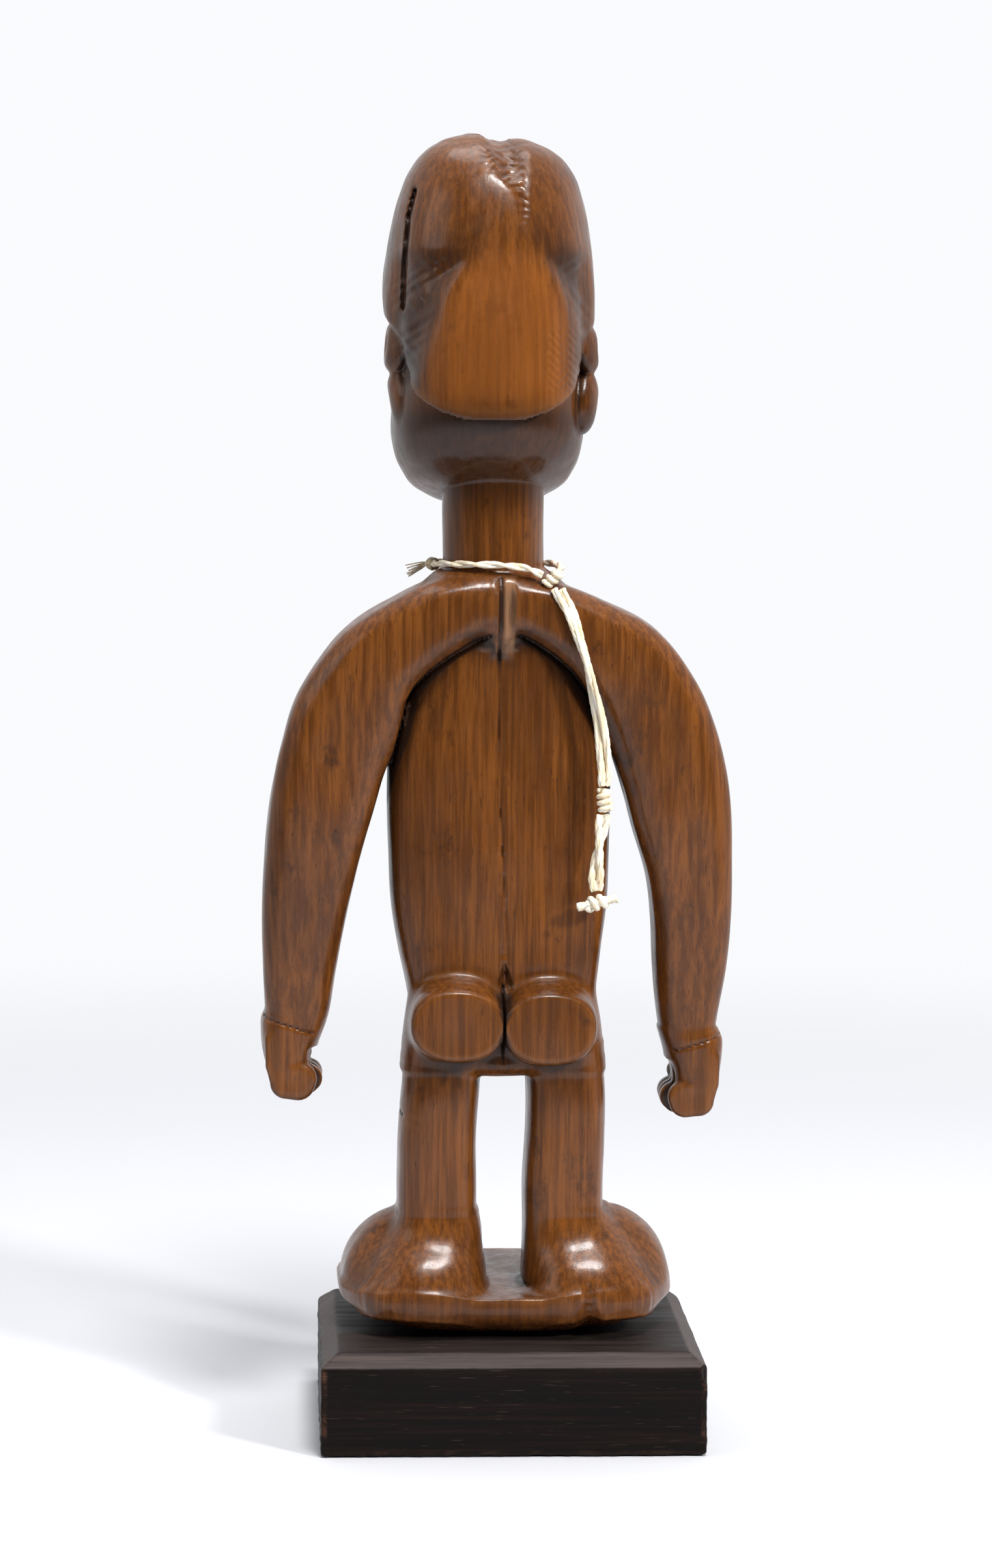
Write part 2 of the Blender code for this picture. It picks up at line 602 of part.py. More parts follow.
def make_cord(name, points, radius, parts, finish):
    """A length of cord: a poly curve with a round section and closed ends."""
    curve = bpy.data.curves.new(name, "CURVE")
    curve.dimensions = "3D"
    curve.bevel_depth = radius * MM
    curve.bevel_resolution = 2
    curve.use_fill_caps = True
    spline = curve.splines.new("POLY")
    spline.points.add(len(points) - 1)
    for spot, point in zip(spline.points, points):
        spot.co = (*(Vector(point) * MM), 1.0)
    return add_object(name, curve, parts, finish)


def twisted_pair(path, steps):
    """Two centre lines that wind round a path, touching all but for a gap, side by side at its ends."""
    rows = smooth_rows(path, steps)
    offset = STRAND_RADIUS + GAP / 2
    pair = ([], [])
    for i, (x, y, z) in enumerate(rows):
        angle = math.pi * STRAND_TURN * i / (len(rows) - 1)
        side = Vector((math.cos(angle), math.sin(angle), 0)) * offset
        pair[0].append(Vector((x, y, z)) + side)
        pair[1].append(Vector((x, y, z)) - side)
    return pair


def make_end_knot(parts, finish):
    rings = []
    for along, half_height, half_depth in smooth_rows(END_KNOT_STATIONS, 2):
        centre = Vector(END_KNOT) + Vector((along, 0, -along * END_KNOT_RISE))
        widths = (half_depth, half_depth, half_height, half_height)
        rings.append(ring_points(centre, Vector((0, 1, 0)), Vector((0, 0, 1)), widths, 2.0, 12))
    return loft("end_knot", rings, parts, finish)


def make_frayed_end(parts, finish):
    rings = []
    for centre, radius in FRAYED_END:
        widths = (radius, radius, radius, radius)
        rings.append(ring_points(Vector(centre), Vector((0, 1, 0)), Vector((0, 0, 1)), widths, 2.0, 10))
    return loft("frayed_end", rings, parts, finish)


def make_pivot(name, spot, collection, parent=None):
    """An empty on a joint's axis, which the pieces that move about it hang from."""
    pivot = add_object(name, None, collection)
    pivot.empty_display_size = 0.006
    pivot.location = Vector(spot) * MM
    if parent:
        hang(pivot, parent)
    return pivot


def hang(obj, pivot):
    """Parents obj to a pivot and leaves it where it stands."""
    bpy.context.view_layer.update()
    obj.parent = pivot
    obj.matrix_parent_inverse = pivot.matrix_world.inverted()


def make_cords(parts, finish):
    loop = make_pivot("loop_turn", LOOP_CENTRE, parts)
    knot = make_pivot("tail_sway_and_lift", NECK_KNOT, parts, loop)
    bend = make_pivot("tail_bend", MIDDLE_KNOT, parts, knot)
    hang(make_cord("neck_cord_back", smooth_rows(BACK_CORD, 4), CORD_RADIUS, parts, finish), loop)
    hang(make_cord("neck_cord_front", smooth_rows(FRONT_CORD, 3), CORD_RADIUS, parts, finish), loop)
    hang(ellipsoid("tie_knot", TIE_KNOT, TIE_KNOT_SIZE, parts, finish, segments=12), loop)
    hang(make_frayed_end(parts, finish), loop)
    hang(ellipsoid("neck_knot", NECK_KNOT, NECK_KNOT_SIZE, parts, finish), knot)
    for label, strand in zip("ab", twisted_pair(UPPER_TAIL, 4)):
        hang(make_cord(f"upper_tail_strand_{label}", strand, STRAND_RADIUS, parts, finish), knot)
    hang(ellipsoid("middle_knot", MIDDLE_KNOT, MIDDLE_KNOT_SIZE, parts, finish), knot)
    for label, strand in zip("ab", twisted_pair(LOWER_TAIL, 3)):
        hang(make_cord(f"lower_tail_strand_{label}", strand, STRAND_RADIUS, parts, finish), bend)
    hang(make_end_knot(parts, finish), bend)


def main():
    clear_scene()
    parts = new_collection("fertility_doll")
    forms = new_collection("figure_forms")
    cutters = new_collection("cutters")
    carved_wood = material("carved_wood", (0.27, 0.12, 0.045), 0.35)
    dark_wood = material("dark_wood", (0.035, 0.02, 0.015), 0.45)
    raffia = material("raffia", (0.78, 0.68, 0.50), 0.7)
    steel = material("screw_steel", (0.55, 0.55, 0.56), 0.35, metallic=1.0)
    make_figure(parts, forms, cutters, carved_wood)
    make_plinth(parts, cutters, dark_wood)
    for side, place in SCREW_SPOTS.items():
        make_screw(side, place, parts, cutters, steel)
    make_cords(parts, raffia)


main()
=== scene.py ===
"""The looks of a carved fertility doll on its plinth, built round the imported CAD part.

The figure is modelled as a distance field: rounded sections stacked along its limbs, united with
fillets, then carved, cracked and worn. A surface net turns the field into the mesh that is shown.
Tables are in millimetres in the CAD frame: +Z up, the doll faces -Y, its left hand towards +X.
"""

import itertools
import math

import bmesh
import bpy
import numpy as np
from mathutils import Matrix, Vector, noise


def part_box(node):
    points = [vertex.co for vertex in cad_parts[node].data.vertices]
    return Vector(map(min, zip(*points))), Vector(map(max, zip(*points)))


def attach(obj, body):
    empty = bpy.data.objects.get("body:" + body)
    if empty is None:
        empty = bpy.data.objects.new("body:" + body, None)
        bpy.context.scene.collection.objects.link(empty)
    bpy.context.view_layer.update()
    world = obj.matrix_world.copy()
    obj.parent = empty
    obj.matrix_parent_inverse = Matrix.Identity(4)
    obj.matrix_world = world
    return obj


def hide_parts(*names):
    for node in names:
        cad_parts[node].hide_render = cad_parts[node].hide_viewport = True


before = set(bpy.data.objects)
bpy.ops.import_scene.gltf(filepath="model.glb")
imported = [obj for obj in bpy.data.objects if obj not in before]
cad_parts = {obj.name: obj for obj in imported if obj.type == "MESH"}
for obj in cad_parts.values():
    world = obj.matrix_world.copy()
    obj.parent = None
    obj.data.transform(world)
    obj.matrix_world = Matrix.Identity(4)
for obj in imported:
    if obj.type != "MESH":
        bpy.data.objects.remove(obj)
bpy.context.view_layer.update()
MM = 0.001
VOXEL = 0.6
RANDOM = np.random.default_rng(7)

# ---------------------------------------------------------------- the figure's tables
# Upright forms: height, centre x, centre y, half width, depth behind and in front, roundness, slope of the ring

SLAB = [
    (29.8, 1.4, -7.5, 31.0, 27.0, 27.0, 2.8, 0.0),
    (31.2, 1.4, -7.5, 36.8, 31.6, 31.0, 3.0, 0.0),
    (33.3, 1.4, -7.5, 41.2, 34.2, 33.6, 3.2, 0.0),
    (36.8, 1.5, -7.5, 44.8, 35.6, 35.0, 3.4, 0.0),
    (41.2, 1.6, -7.5, 47.0, 35.4, 35.4, 3.5, 0.0),
]
LEFT_LEG = [
    (44.0, 20.6, 5.0, 11.6, 13.0, 12.8, 3.2, 0.0),
    (58.0, 20.6, 4.8, 11.5, 12.4, 12.4, 3.2, 0.0),
    (72.0, 20.7, 4.5, 11.4, 12.6, 12.6, 3.2, 0.0),
    (86.0, 20.6, 4.5, 11.2, 12.8, 12.8, 3.2, 0.0),
    (100.0, 19.6, 4.2, 11.2, 13.2, 13.2, 3.0, 0.0),
    (112.0, 18.4, 3.0, 11.0, 13.4, 13.4, 3.0, 0.0),
]
RIGHT_LEG = [
    (44.0, -16.0, 5.0, 11.8, 13.0, 12.8, 3.2, 0.0),
    (58.0, -16.0, 4.8, 11.6, 12.4, 12.4, 3.2, 0.0),
    (72.0, -16.1, 4.5, 11.7, 12.6, 12.6, 3.2, 0.0),
    (86.0, -16.6, 4.5, 11.5, 12.8, 12.8, 3.2, 0.0),
    (100.0, -16.5, 4.2, 11.4, 13.2, 13.2, 3.0, 0.0),
    (112.0, -15.4, 3.0, 11.2, 13.4, 13.4, 3.0, 0.0),
]
TORSO = [
    (103.6, 1.2, 1.5, 22.0, 12.4, 13.0, 2.6, 0.0),
    (105.0, 1.2, 1.0, 26.2, 15.0, 16.4, 2.8, 0.0),
    (110.0, 1.2, 0.0, 27.2, 17.0, 18.5, 2.9, 0.0),
    (117.0, 1.4, -1.5, 26.6, 17.4, 20.0, 3.2, 0.0),
    (126.0, 1.9, -3.0, 27.2, 17.4, 23.0, 4.0, 0.0),
    (138.0, 2.5, -4.2, 29.2, 18.2, 26.4, 4.4, 0.0),
    (152.0, 2.9, -5.0, 31.2, 19.2, 27.0, 4.4, 0.0),
    (168.0, 3.0, -5.0, 32.0, 19.6, 23.5, 4.4, 0.0),
    (182.0, 3.1, -5.0, 32.4, 19.7, 20.8, 4.2, 0.0),
    (198.0, 3.2, -5.0, 31.6, 19.7, 20.6, 3.8, 0.0),
    (214.0, 3.4, -4.5, 29.0, 19.0, 19.6, 3.0, 0.0),
    (230.0, 3.8, -2.0, 23.0, 15.8, 17.4, 2.6, 0.0),
    (243.0, 4.6, 0.0, 16.0, 12.0, 14.0, 2.2, 0.0),
]
YOKE = [
    (226.5, 4.0, 3.0, 2.0, 12.0, 11.0, 2.4, 0.0),
    (231.5, 4.2, 3.0, 8.0, 14.4, 13.6, 2.6, 0.0),
    (238.0, 4.5, 3.0, 16.5, 15.6, 14.6, 2.8, 0.0),
    (244.0, 4.9, 2.5, 19.0, 14.8, 14.8, 2.6, 0.0),
    (248.0, 5.1, 1.5, 17.4, 13.8, 14.4, 2.3, 0.0),
    (250.2, 5.2, 0.5, 14.2, 12.2, 13.0, 2.1, 0.0),
]
NECK = [
    (238.0, 4.9, 0.0, 14.5, 14.5, 14.5, 2.15, 0.0),
    (258.0, 5.3, 0.0, 14.5, 14.5, 14.5, 2.15, 0.0),
    (284.0, 5.6, 0.0, 14.7, 14.7, 14.7, 2.15, 0.0),
]
SKULL = [
    (269.6, 6.6, -6.0, 15.0, 14.0, 15.0, 2.0, -0.16),
    (272.6, 6.9, -5.0, 20.6, 19.4, 21.4, 2.0, -0.14),
    (278.0, 7.1, -4.0, 24.8, 25.4, 26.4, 2.1, -0.1),
    (286.0, 7.2, -3.2, 27.3, 29.2, 28.8, 2.2, -0.05),
    (297.0, 7.2, -2.6, 27.4, 30.6, 28.6, 2.3, 0.0),
    (312.0, 7.2, -2.2, 26.4, 31.0, 28.4, 2.3, 0.0),
    (326.0, 7.2, -2.0, 26.4, 31.0, 28.6, 2.3, 0.0),
    (340.0, 7.1, -1.0, 25.0, 29.0, 28.6, 2.2, 0.0),
    (352.0, 7.0, 0.0, 18.0, 21.0, 22.0, 2.1, 0.0),
]
HAIR = [
    (318.3, 6.7, -1.0, 28.9, 34.6, 30.0, 2.3, 0.76),
    (320.6, 6.7, -1.0, 29.2, 34.9, 30.4, 2.3, 0.75),
    (324.0, 6.8, -1.0, 29.9, 34.9, 30.8, 2.3, 0.73),
    (329.6, 7.1, -1.0, 30.3, 34.9, 31.0, 2.3, 0.67),
    (337.6, 6.9, -0.8, 29.6, 34.4, 31.4, 2.3, 0.54),
    (347.0, 6.7, -0.5, 28.2, 32.2, 30.4, 2.3, 0.36),
    (355.6, 6.7, 0.0, 26.2, 28.6, 27.8, 2.3, 0.18),
    (363.0, 6.8, 0.4, 23.2, 23.4, 23.6, 2.25, 0.05),
    (367.6, 7.1, 0.5, 19.4, 18.6, 18.8, 2.2, 0.0),
    (370.6, 7.8, 0.5, 14.8, 13.6, 13.6, 2.1, 0.0),
    (372.5, 9.2, 0.5, 9.2, 8.6, 8.6, 2.0, 0.0),
    (373.4, 10.4, 0.5, 3.0, 3.0, 3.0, 2.0, 0.0),
]
NOSE = [
    (296.8, 7.2, -29.0, 3.6, 3.0, 7.4, 2.2, 0.0),
    (299.6, 7.2, -29.0, 5.4, 3.0, 10.4, 2.3, 0.0),
    (306.0, 7.2, -29.0, 4.1, 3.0, 9.2, 2.2, 0.0),
    (317.0, 7.2, -29.0, 2.7, 3.0, 6.4, 2.0, 0.0),
    (327.0, 7.2, -29.0, 2.8, 3.0, 4.6, 2.0, 0.0),
]
# Arms: centre x, y, z, half width in the frontal plane, half depth, roundness
LEFT_ARM = [
    (5.8, 6.0, 240.0, 8.0, 12.4, 3.4),
    (16.4, 6.2, 237.7, 10.4, 13.4, 3.6),
    (28.0, 6.2, 231.4, 11.6, 13.6, 4.0),
    (39.7, 5.8, 221.7, 13.4, 13.4, 4.2),
    (46.4, 5.0, 208.1, 15.8, 13.0, 4.2),
    (51.5, 4.0, 194.0, 15.3, 12.7, 4.2),
    (55.1, 3.2, 178.5, 14.5, 12.3, 4.2),
    (57.6, 2.2, 162.5, 13.3, 11.7, 4.0),
    (59.5, 1.2, 148.0, 11.9, 11.0, 3.8),
    (60.7, 0.2, 134.0, 10.5, 10.1, 3.6),
    (61.5, -0.8, 121.0, 9.3, 9.0, 3.2),
    (62.3, -1.4, 112.0, 7.4, 8.0, 2.6),
]
RIGHT_ARM = [
    (3.8, 6.0, 240.0, 8.0, 12.4, 3.4),
    (-8.5, 6.2, 237.7, 9.1, 13.4, 3.6),
    (-20.5, 6.2, 231.7, 10.7, 13.6, 4.0),
    (-32.1, 5.8, 222.3, 13.8, 13.4, 4.2),
    (-40.4, 4.8, 209.0, 15.2, 13.0, 4.2),
    (-46.0, 4.0, 194.0, 15.4, 12.7, 4.2),
    (-49.4, 3.2, 178.5, 14.5, 12.3, 4.2),
    (-52.0, 2.2, 163.0, 12.5, 11.7, 4.0),
    (-52.8, 1.2, 148.0, 11.4, 11.0, 3.8),
    (-52.7, 0.2, 134.0, 10.5, 10.1, 3.6),
    (-52.3, -0.8, 120.0, 8.8, 9.0, 3.2),
    (-52.8, -1.4, 108.0, 7.0, 8.0, 2.6),
]
# The left palm, upright, and its rear finger's band in x and z with half widths; both are mirrored for the right
PALM = [
    (121.4, 61.6, -1.4, 8.8, 8.8, 8.6, 3.0, 0.0),
    (118.8, 62.6, -2.0, 9.0, 9.8, 9.8, 3.2, 0.0),
    (114.0, 63.6, -2.3, 8.2, 10.0, 10.2, 3.4, 0.0),
    (108.0, 64.2, -2.6, 6.9, 10.0, 10.4, 3.4, 0.0),
    (102.0, 63.0, -2.8, 6.0, 9.6, 10.4, 3.2, 0.0),
]
# The curled fingers in x and z with half widths: the rear one, then the block of three in front of it
REAR_FINGER = [(68.2, 113.0, 2.6), (67.2, 105.4, 3.4), (64.4, 100.4, 4.8), (61.0, 100.2, 5.0), (60.2, 101.4, 4.6)]
FRONT_FINGERS = [(68.4, 114.0, 2.6), (67.2, 106.6, 3.4), (64.0, 101.2, 4.8), (59.0, 100.4, 4.6), (57.9, 100.8, 4.1)]
REAR_FINGER_SPAN, FRONT_FINGER_SPAN = (2.6, 7.2), (-12.4, 2.4)
FINGER_GAPS = (2.5, -2.6, -7.6)
THUMB = [(66.4, -11.6, 117.0, 2.8), (63.4, -13.0, 111.0, 3.0), (59.6, -13.2, 106.4, 2.7)]
HAND_MIRROR = (9.2, -5.4)
# Feet: distance y, centre x, reach outwards and inwards, height above FOOT_CENTRE, roundness
FOOT = [
    (20.0, 25.4, 15.4, 12.0, 5.0, 2.4),
    (14.0, 26.2, 20.0, 13.6, 12.0, 2.3),
    (7.0, 27.2, 22.0, 16.4, 21.0, 2.15),
    (-2.0, 27.6, 22.2, 18.6, 24.2, 2.1),
    (-13.0, 28.0, 21.4, 19.6, 20.2, 2.3),
    (-25.0, 28.0, 19.6, 20.0, 13.2, 2.3),
    (-34.0, 27.6, 17.6, 18.6, 8.2, 2.5),
    (-38.5, 27.0, 15.0, 16.0, 5.0, 2.6),
]
# The left heel, an upright form mirrored for the right
HEEL = [
    (35.0, 25.6, 8.0, 18.0, 19.9, 15.0, 2.7, 0.0),
    (40.0, 25.8, 8.0, 18.6, 20.4, 15.0, 2.7, 0.0),
    (45.0, 25.2, 8.0, 17.6, 19.2, 15.0, 2.6, 0.0),
    (50.0, 24.2, 7.6, 15.8, 17.0, 14.0, 2.6, 0.0),
    (54.5, 22.9, 7.0, 13.6, 13.6, 13.0, 2.6, 0.0),
    (59.0, 21.4, 6.0, 11.6, 10.6, 12.0, 2.6, 0.0),
    (62.0, 20.8, 5.0, 10.0, 9.0, 11.0, 2.6, 0.0),
]
FOOT_CENTRE = 39.0
FOOT_DEPTH = 4.0
LEFT_FOOT_SHIFT, RIGHT_FOOT_SHIFT = -1.2, 1.8
TOES = [(14.0, -38.0), (20.9, -38.9), (27.7, -38.9), (34.4, -37.6), (40.6, -34.6)]
# Buttocks: distance y, half width, half height, rise
BUTTOCK = [
    (4.0, 12.6, 12.2, 1.0),
    (12.0, 13.0, 11.9, 1.1),
    (17.0, 13.3, 11.6, 0.8),
    (20.6, 13.5, 11.2, 0.4),
    (23.2, 13.3, 10.6, 0.2),
    (24.6, 12.9, 10.1, 0.0),
    (25.2, 12.4, 9.5, 0.0),
]
# Ellipsoids: centre, half sizes, turn about y in degrees, fillet
CHEEK_FORMS = [
    ((7.1, -20.0, 279.6), (10.0, 11.4, 9.0), 0, 7.0),
    ((20.5, -19.0, 300.0), (8.0, 9.5, 9.0), 0, 8.0),
    ((-6.1, -19.0, 300.0), (8.0, 9.5, 9.0), 0, 8.0),
]
BROWS = [
    ((17.8, -24.0, 326.4), (10.4, 7.2, 2.4), -6, 2.8),
    ((-3.4, -24.0, 326.4), (10.4, 7.2, 2.4), 6, 2.8),
]
CROWN_NOTCH = [(4.6, -18.0, 375.2, 2.6), (4.3, 0.0, 376.0, 3.2), (4.0, 14.0, 372.0, 3.0), (2.0, 23.0, 364.0, 1.6)]
# Ears: centre, half sizes, turn about y, spin about z, fillet
EARS = [
    ((33.2, 7.6, 313.4), (3.8, 8.6, 8.4), 7, 12, 0.5),
    ((32.1, 7.0, 298.0), (3.6, 6.8, 9.2), -8, 12, 0.8),
    ((-20.4, 7.4, 313.0), (3.9, 8.4, 7.8), -10, -12, 0.5),
    ((-20.2, 7.0, 297.4), (4.0, 6.8, 9.2), 6, -12, 0.8),
]
EAR_HOLLOWS = [
    ((38.6, 4.6, 313.2), (2.8, 5.2, 5.8), 7, 12, 0.8),
    ((36.4, 5.0, 297.0), (1.7, 3.4, 4.8), -8, 12, 0.8),
    ((-25.9, 4.4, 312.2), (2.9, 5.0, 5.2), -10, -12, 0.8),
    ((-24.8, 4.8, 296.0), (1.8, 3.2, 4.6), 6, -12, 0.8),
]
# Bays in the hair where the ears sit: centre, half sizes
EAR_BAYS = [
    ((40.0, 3.0, 307.6), (9.6, 15.4, 14.2)),
    ((-25.6, 3.0, 306.6), (9.4, 15.4, 13.8)),
]
# The raised panel's edges on the back of the head: height, x
PANEL_LEFT = [(296.0, 30.0), (303.9, 27.6), (318.5, 23.6), (327.5, 21.0), (338.1, 13.5), (346.0, 8.0)]
PANEL_RIGHT = [(296.0, -18.0), (300.6, -16.4), (317.0, -15.6), (322.4, -14.6), (331.4, -11.0), (339.5, -5.4), (346.0, 0.0)]
EYE_SOCKETS = [
    ((17.6, -32.2, 317.6), (8.6, 3.6, 5.4), 0, 3.4),
    ((-3.2, -32.2, 317.6), (8.6, 3.6, 5.4), 0, 3.4),
]
FACE_FORMS = [
    ((17.4, -26.3, 317.4), (7.0, 4.9, 3.7), -2, 0.5),
    ((-3.0, -26.3, 317.4), (7.0, 4.9, 3.7), 2, 0.5),
    ((11.0, -33.2, 300.2), (2.7, 4.2, 2.6), 0, 0.8),
    ((3.4, -33.2, 300.2), (2.7, 4.2, 2.6), 0, 0.8),
    ((7.2, -31.4, 290.9), (9.4, 3.8, 2.5), 0, 0.8),
    ((7.2, -31.6, 286.0), (8.4, 3.6, 2.9), 0, 0.8),
]
FACE_CUTS = [
    ((17.4, -31.6, 316.2), (6.0, 2.4, 0.5), -3, 0.3),
    ((-3.0, -31.6, 316.2), (6.0, 2.4, 0.5), 3, 0.3),
    ((7.2, -35.2, 288.6), (8.8, 1.8, 0.3), 0, 0.3),
    ((9.6, -37.4, 297.5), (1.2, 2.0, 1.2), 0, 0.3),
    ((4.8, -37.4, 297.5), (1.2, 2.0, 1.2), 0, 0.3),
    ((7.2, -32.4, 293.9), (1.3, 1.2, 1.8), 0, 0.8),
]
HIPS = [
    ((24.0, 3.6, 112.4), (6.6, 12.6, 15.0), 4, 5.0),
    ((-20.0, 3.6, 111.8), (6.6, 12.6, 15.0), -4, 5.0),
]
FRONT_FORMS = [
    ((17.4, -16.6, 200.0), (12.6, 12.4, 12.4), 0, 5.0),
    ((-11.0, -16.6, 200.0), (12.6, 12.4, 12.4), 0, 5.0),
    ((3.0, -29.4, 148.0), (3.4, 4.6, 3.4), 0, 1.6),
]
FRONT_CUTS = [
    ((3.0, -35.2, 148.0), (1.1, 2.2, 1.1), 0, 0.5),
]
# Dents and gouges seen on the back: centre, half sizes, turn, brink
GOUGES = [
    ((6.6, 34.4, 335.8), (1.7, 1.9, 4.8), 3, 1.0),
    ((6.2, 35.2, 331.9), (2.3, 1.6, 0.9), 0, 0.6),
    ((15.6, 29.0, 351.9), (1.6, 1.0, 1.0), 0, 0.6),
    ((14.4, 32.4, 340.8), (2.2, 1.0, 1.2), 25, 0.6),
    ((-10.2, 30.4, 337.0), (1.8, 1.2, 1.0), -30, 0.6),
    ((-3.5, 34.2, 311.2), (0.8, 0.8, 0.7), 0, 0.3),
    ((28.6, 11.0, 274.6), (1.3, 4.0, 2.6), 20, 0.6),
    ((1.7, 18.9, 238.0), (1.6, 1.7, 11.0), 2, 1.4),
    ((32.8, 8.0, 92.6), (3.0, 8.0, 0.6), 18, 0.4),
]
CAMERA_SPOT = (66.6, 1256.7, 312.1)
CAMERA_YAW, CAMERA_PITCH, CAMERA_ROLL = 2.84, 5.69, 0.43  # degrees
CAMERA_LENS, CAMERA_SENSOR = 100.3, 36.0
WORLD_LIGHT, WORLD_DIM = 0.82, 0.05
CHAMFER_RUN, CHAMFER_RISE = 5.0, 3.9
PLINTH_CHIPS = [
    ((-55.6, 47.6, 24.2), (2.2, 2.0, 3.4), 0, 0.4),
    ((-55.4, 48.4, 14.0), (1.4, 1.0, 5.0), 0, 0.4),
]
STRAND_RADIUS = 1.0
STRAND_TURN = 1.3
BACK_CORD = [
    (22.6, -0.8, 250.4),
    (21.8, 5.0, 250.7),
    (18.4, 11.4, 250.9),
    (12.4, 16.0, 251.0),
    (4.6, 18.6, 251.0),
    (-2.8, 19.3, 250.2),
    (-7.5, 19.1, 248.3),
]
FRONT_CORD = [
    (-12.2, 15.9, 248.6),
    (-13.4, 10.0, 249.8),
    (-12.6, 0.0, 250.4),
    (-9.0, -9.6, 250.5),
    (-2.0, -15.6, 250.5),
    (6.0, -17.3, 250.5),
    (14.4, -14.6, 250.5),
    (20.0, -9.4, 250.4),
    (21.6, -6.5, 250.3),
]
UPPER_TAIL = [
    (-11.9, 20.7, 244.4),
    (-15.7, 22.4, 237.0),
    (-19.3, 22.9, 226.4),
    (-22.4, 23.0, 214.4),
    (-24.8, 23.0, 201.7),
    (-25.6, 22.9, 192.6),
    (-25.5, 22.8, 188.6),
]
LOWER_TAIL = [
    (-25.3, 22.8, 180.2),
    (-24.6, 22.7, 174.0),
    (-23.8, 22.6, 168.0),
    (-23.4, 22.6, 162.0),
    (-23.6, 22.6, 158.6),
]
FRAYED_END = [
    ((24.9, -5.2, 250.0), 0.9),
    ((26.4, -5.7, 249.4), 1.4),
    ((28.2, -6.3, 248.6), 1.8),
    ((30.2, -7.0, 247.8), 2.1),
]
# Grooves cut into the back: points of x, z and half width, then the depth
GROOVES = [
    ([(6.4, 231.2, 0.5), (10.2, 229.1, 0.8), (16.7, 225.3, 0.9), (23.2, 220.7, 0.9), (27.8, 216.0, 0.8),
      (30.6, 211.3, 0.8), (32.4, 202.0, 0.8), (34.2, 192.6, 0.7)], 1.2),
    ([(-1.6, 231.2, 0.5), (-5.6, 229.1, 0.8), (-11.2, 225.4, 0.9), (-16.8, 220.8, 0.9), (-21.5, 214.3, 0.8),
      (-25.4, 205.9, 0.8), (-27.9, 198.4, 0.8), (-29.2, 190.9, 0.7)], 1.2),
    ([(3.7, 247.1, 0.7), (3.8, 233.8, 0.7), (4.2, 217.0, 0.5), (3.9, 198.3, 0.6), (3.4, 179.6, 0.6),
      (2.3, 160.8, 0.5), (1.6, 151.4, 0.5), (2.1, 138.2, 0.6)], 0.9),
    ([(1.9, 136.6, 0.4), (1.7, 133.4, 1.5), (1.6, 130.2, 2.4)], 1.6),
    ([(19.0, 242.1, 0.4), (18.8, 232.0, 0.5), (18.5, 223.7, 0.3)], 0.5),
    ([(28.6, 357.0, 0.75), (30.4, 349.8, 0.85), (31.6, 337.0, 0.9), (32.2, 323.4, 0.75)], 1.6),
    ([(2.2, 130.0, 0.35), (2.1, 120.0, 0.5), (2.4, 108.0, 0.3)], 1.5),
    ([(-22.3, 44.6, 1.4), (-22.4, 39.0, 2.9), (-22.4, 32.4, 4.8)], 1.5),
]
SCREW_SPOTS = [(24.0, -2.0), (-20.0, -2.0)]


# ---------------------------------------------------------------- distance fields, in millimetres


class Field:
    """Signed distances on a regular grid: negative inside the wood."""

    def __init__(self, low, high, step):
        self.low, self.step = np.array(low, float), step
        self.count = [int(np.ceil((b - a) / step)) + 1 for a, b in zip(low, high)]
        self.values = np.full(self.count, 40.0, np.float32)

    def block(self, low, high, margin=10.0):
        """The slices of a box, with its grid coordinates as three arrays that broadcast."""
        spans, axes = [], []
        for i in range(3):
            first = max(0, int((low[i] - margin - self.low[i]) / self.step))
            last = min(self.count[i], int((high[i] + margin - self.low[i]) / self.step) + 2)
            spans.append(slice(first, last))
            shape = [1, 1, 1]
            shape[i] = -1
            places = self.low[i] + self.step * np.arange(first, last)
            axes.append(places.astype(np.float32).reshape(shape))
        return tuple(spans), axes

    def at(self, points):
        """Distances at any points, by trilinear interpolation."""
        place = np.clip((points - self.low) / self.step, 0, np.array(self.count) - 1.001)
        base = place.astype(int)
        part = (place - base).astype(np.float32)
        total = 0
        for corner in itertools.product((0, 1), repeat=3):
            weight = np.prod([part[:, i] if corner[i] else 1 - part[:, i] for i in range(3)], axis=0)
            total = total + weight * self.values[tuple(base[:, i] + corner[i] for i in range(3))]
        return total


def soft_min(a, b, k):
    if k <= 0:
        return np.minimum(a, b)
    h = np.maximum(k - np.abs(a - b), 0) / k
    return np.minimum(a, b) - h * h * (k / 4)


def soft_max(a, b, k):
    return -soft_min(-a, -b, k)


def add(field, shape, k):
    """Unites a shape with the field, with a fillet about k wide where they meet."""
    low, high, distance = shape
    spans, axes = field.block(low, high)
    field.values[spans] = soft_min(field.values[spans], distance(*axes), k)


def carve(field, shape, k):
    """Cuts a shape out of the field, with a rounded brink about k wide."""
    low, high, distance = shape
    spans, axes = field.block(low, high)
    field.values[spans] = soft_max(field.values[spans], -distance(*axes), k)


def true_distance(level, step, smallest):
    """Turns a level function on a grid block into a distance near its zero, for forms of this smallest half size.

    The limit on steepness keeps a flare, or the jump across a limb's far side, from reading as near.
    """
    steepness = np.sqrt(sum(slope * slope for slope in np.gradient(level, step)))
    return level / np.clip(steepness, 0.02, 1.8 / np.maximum(smallest, 1.0))


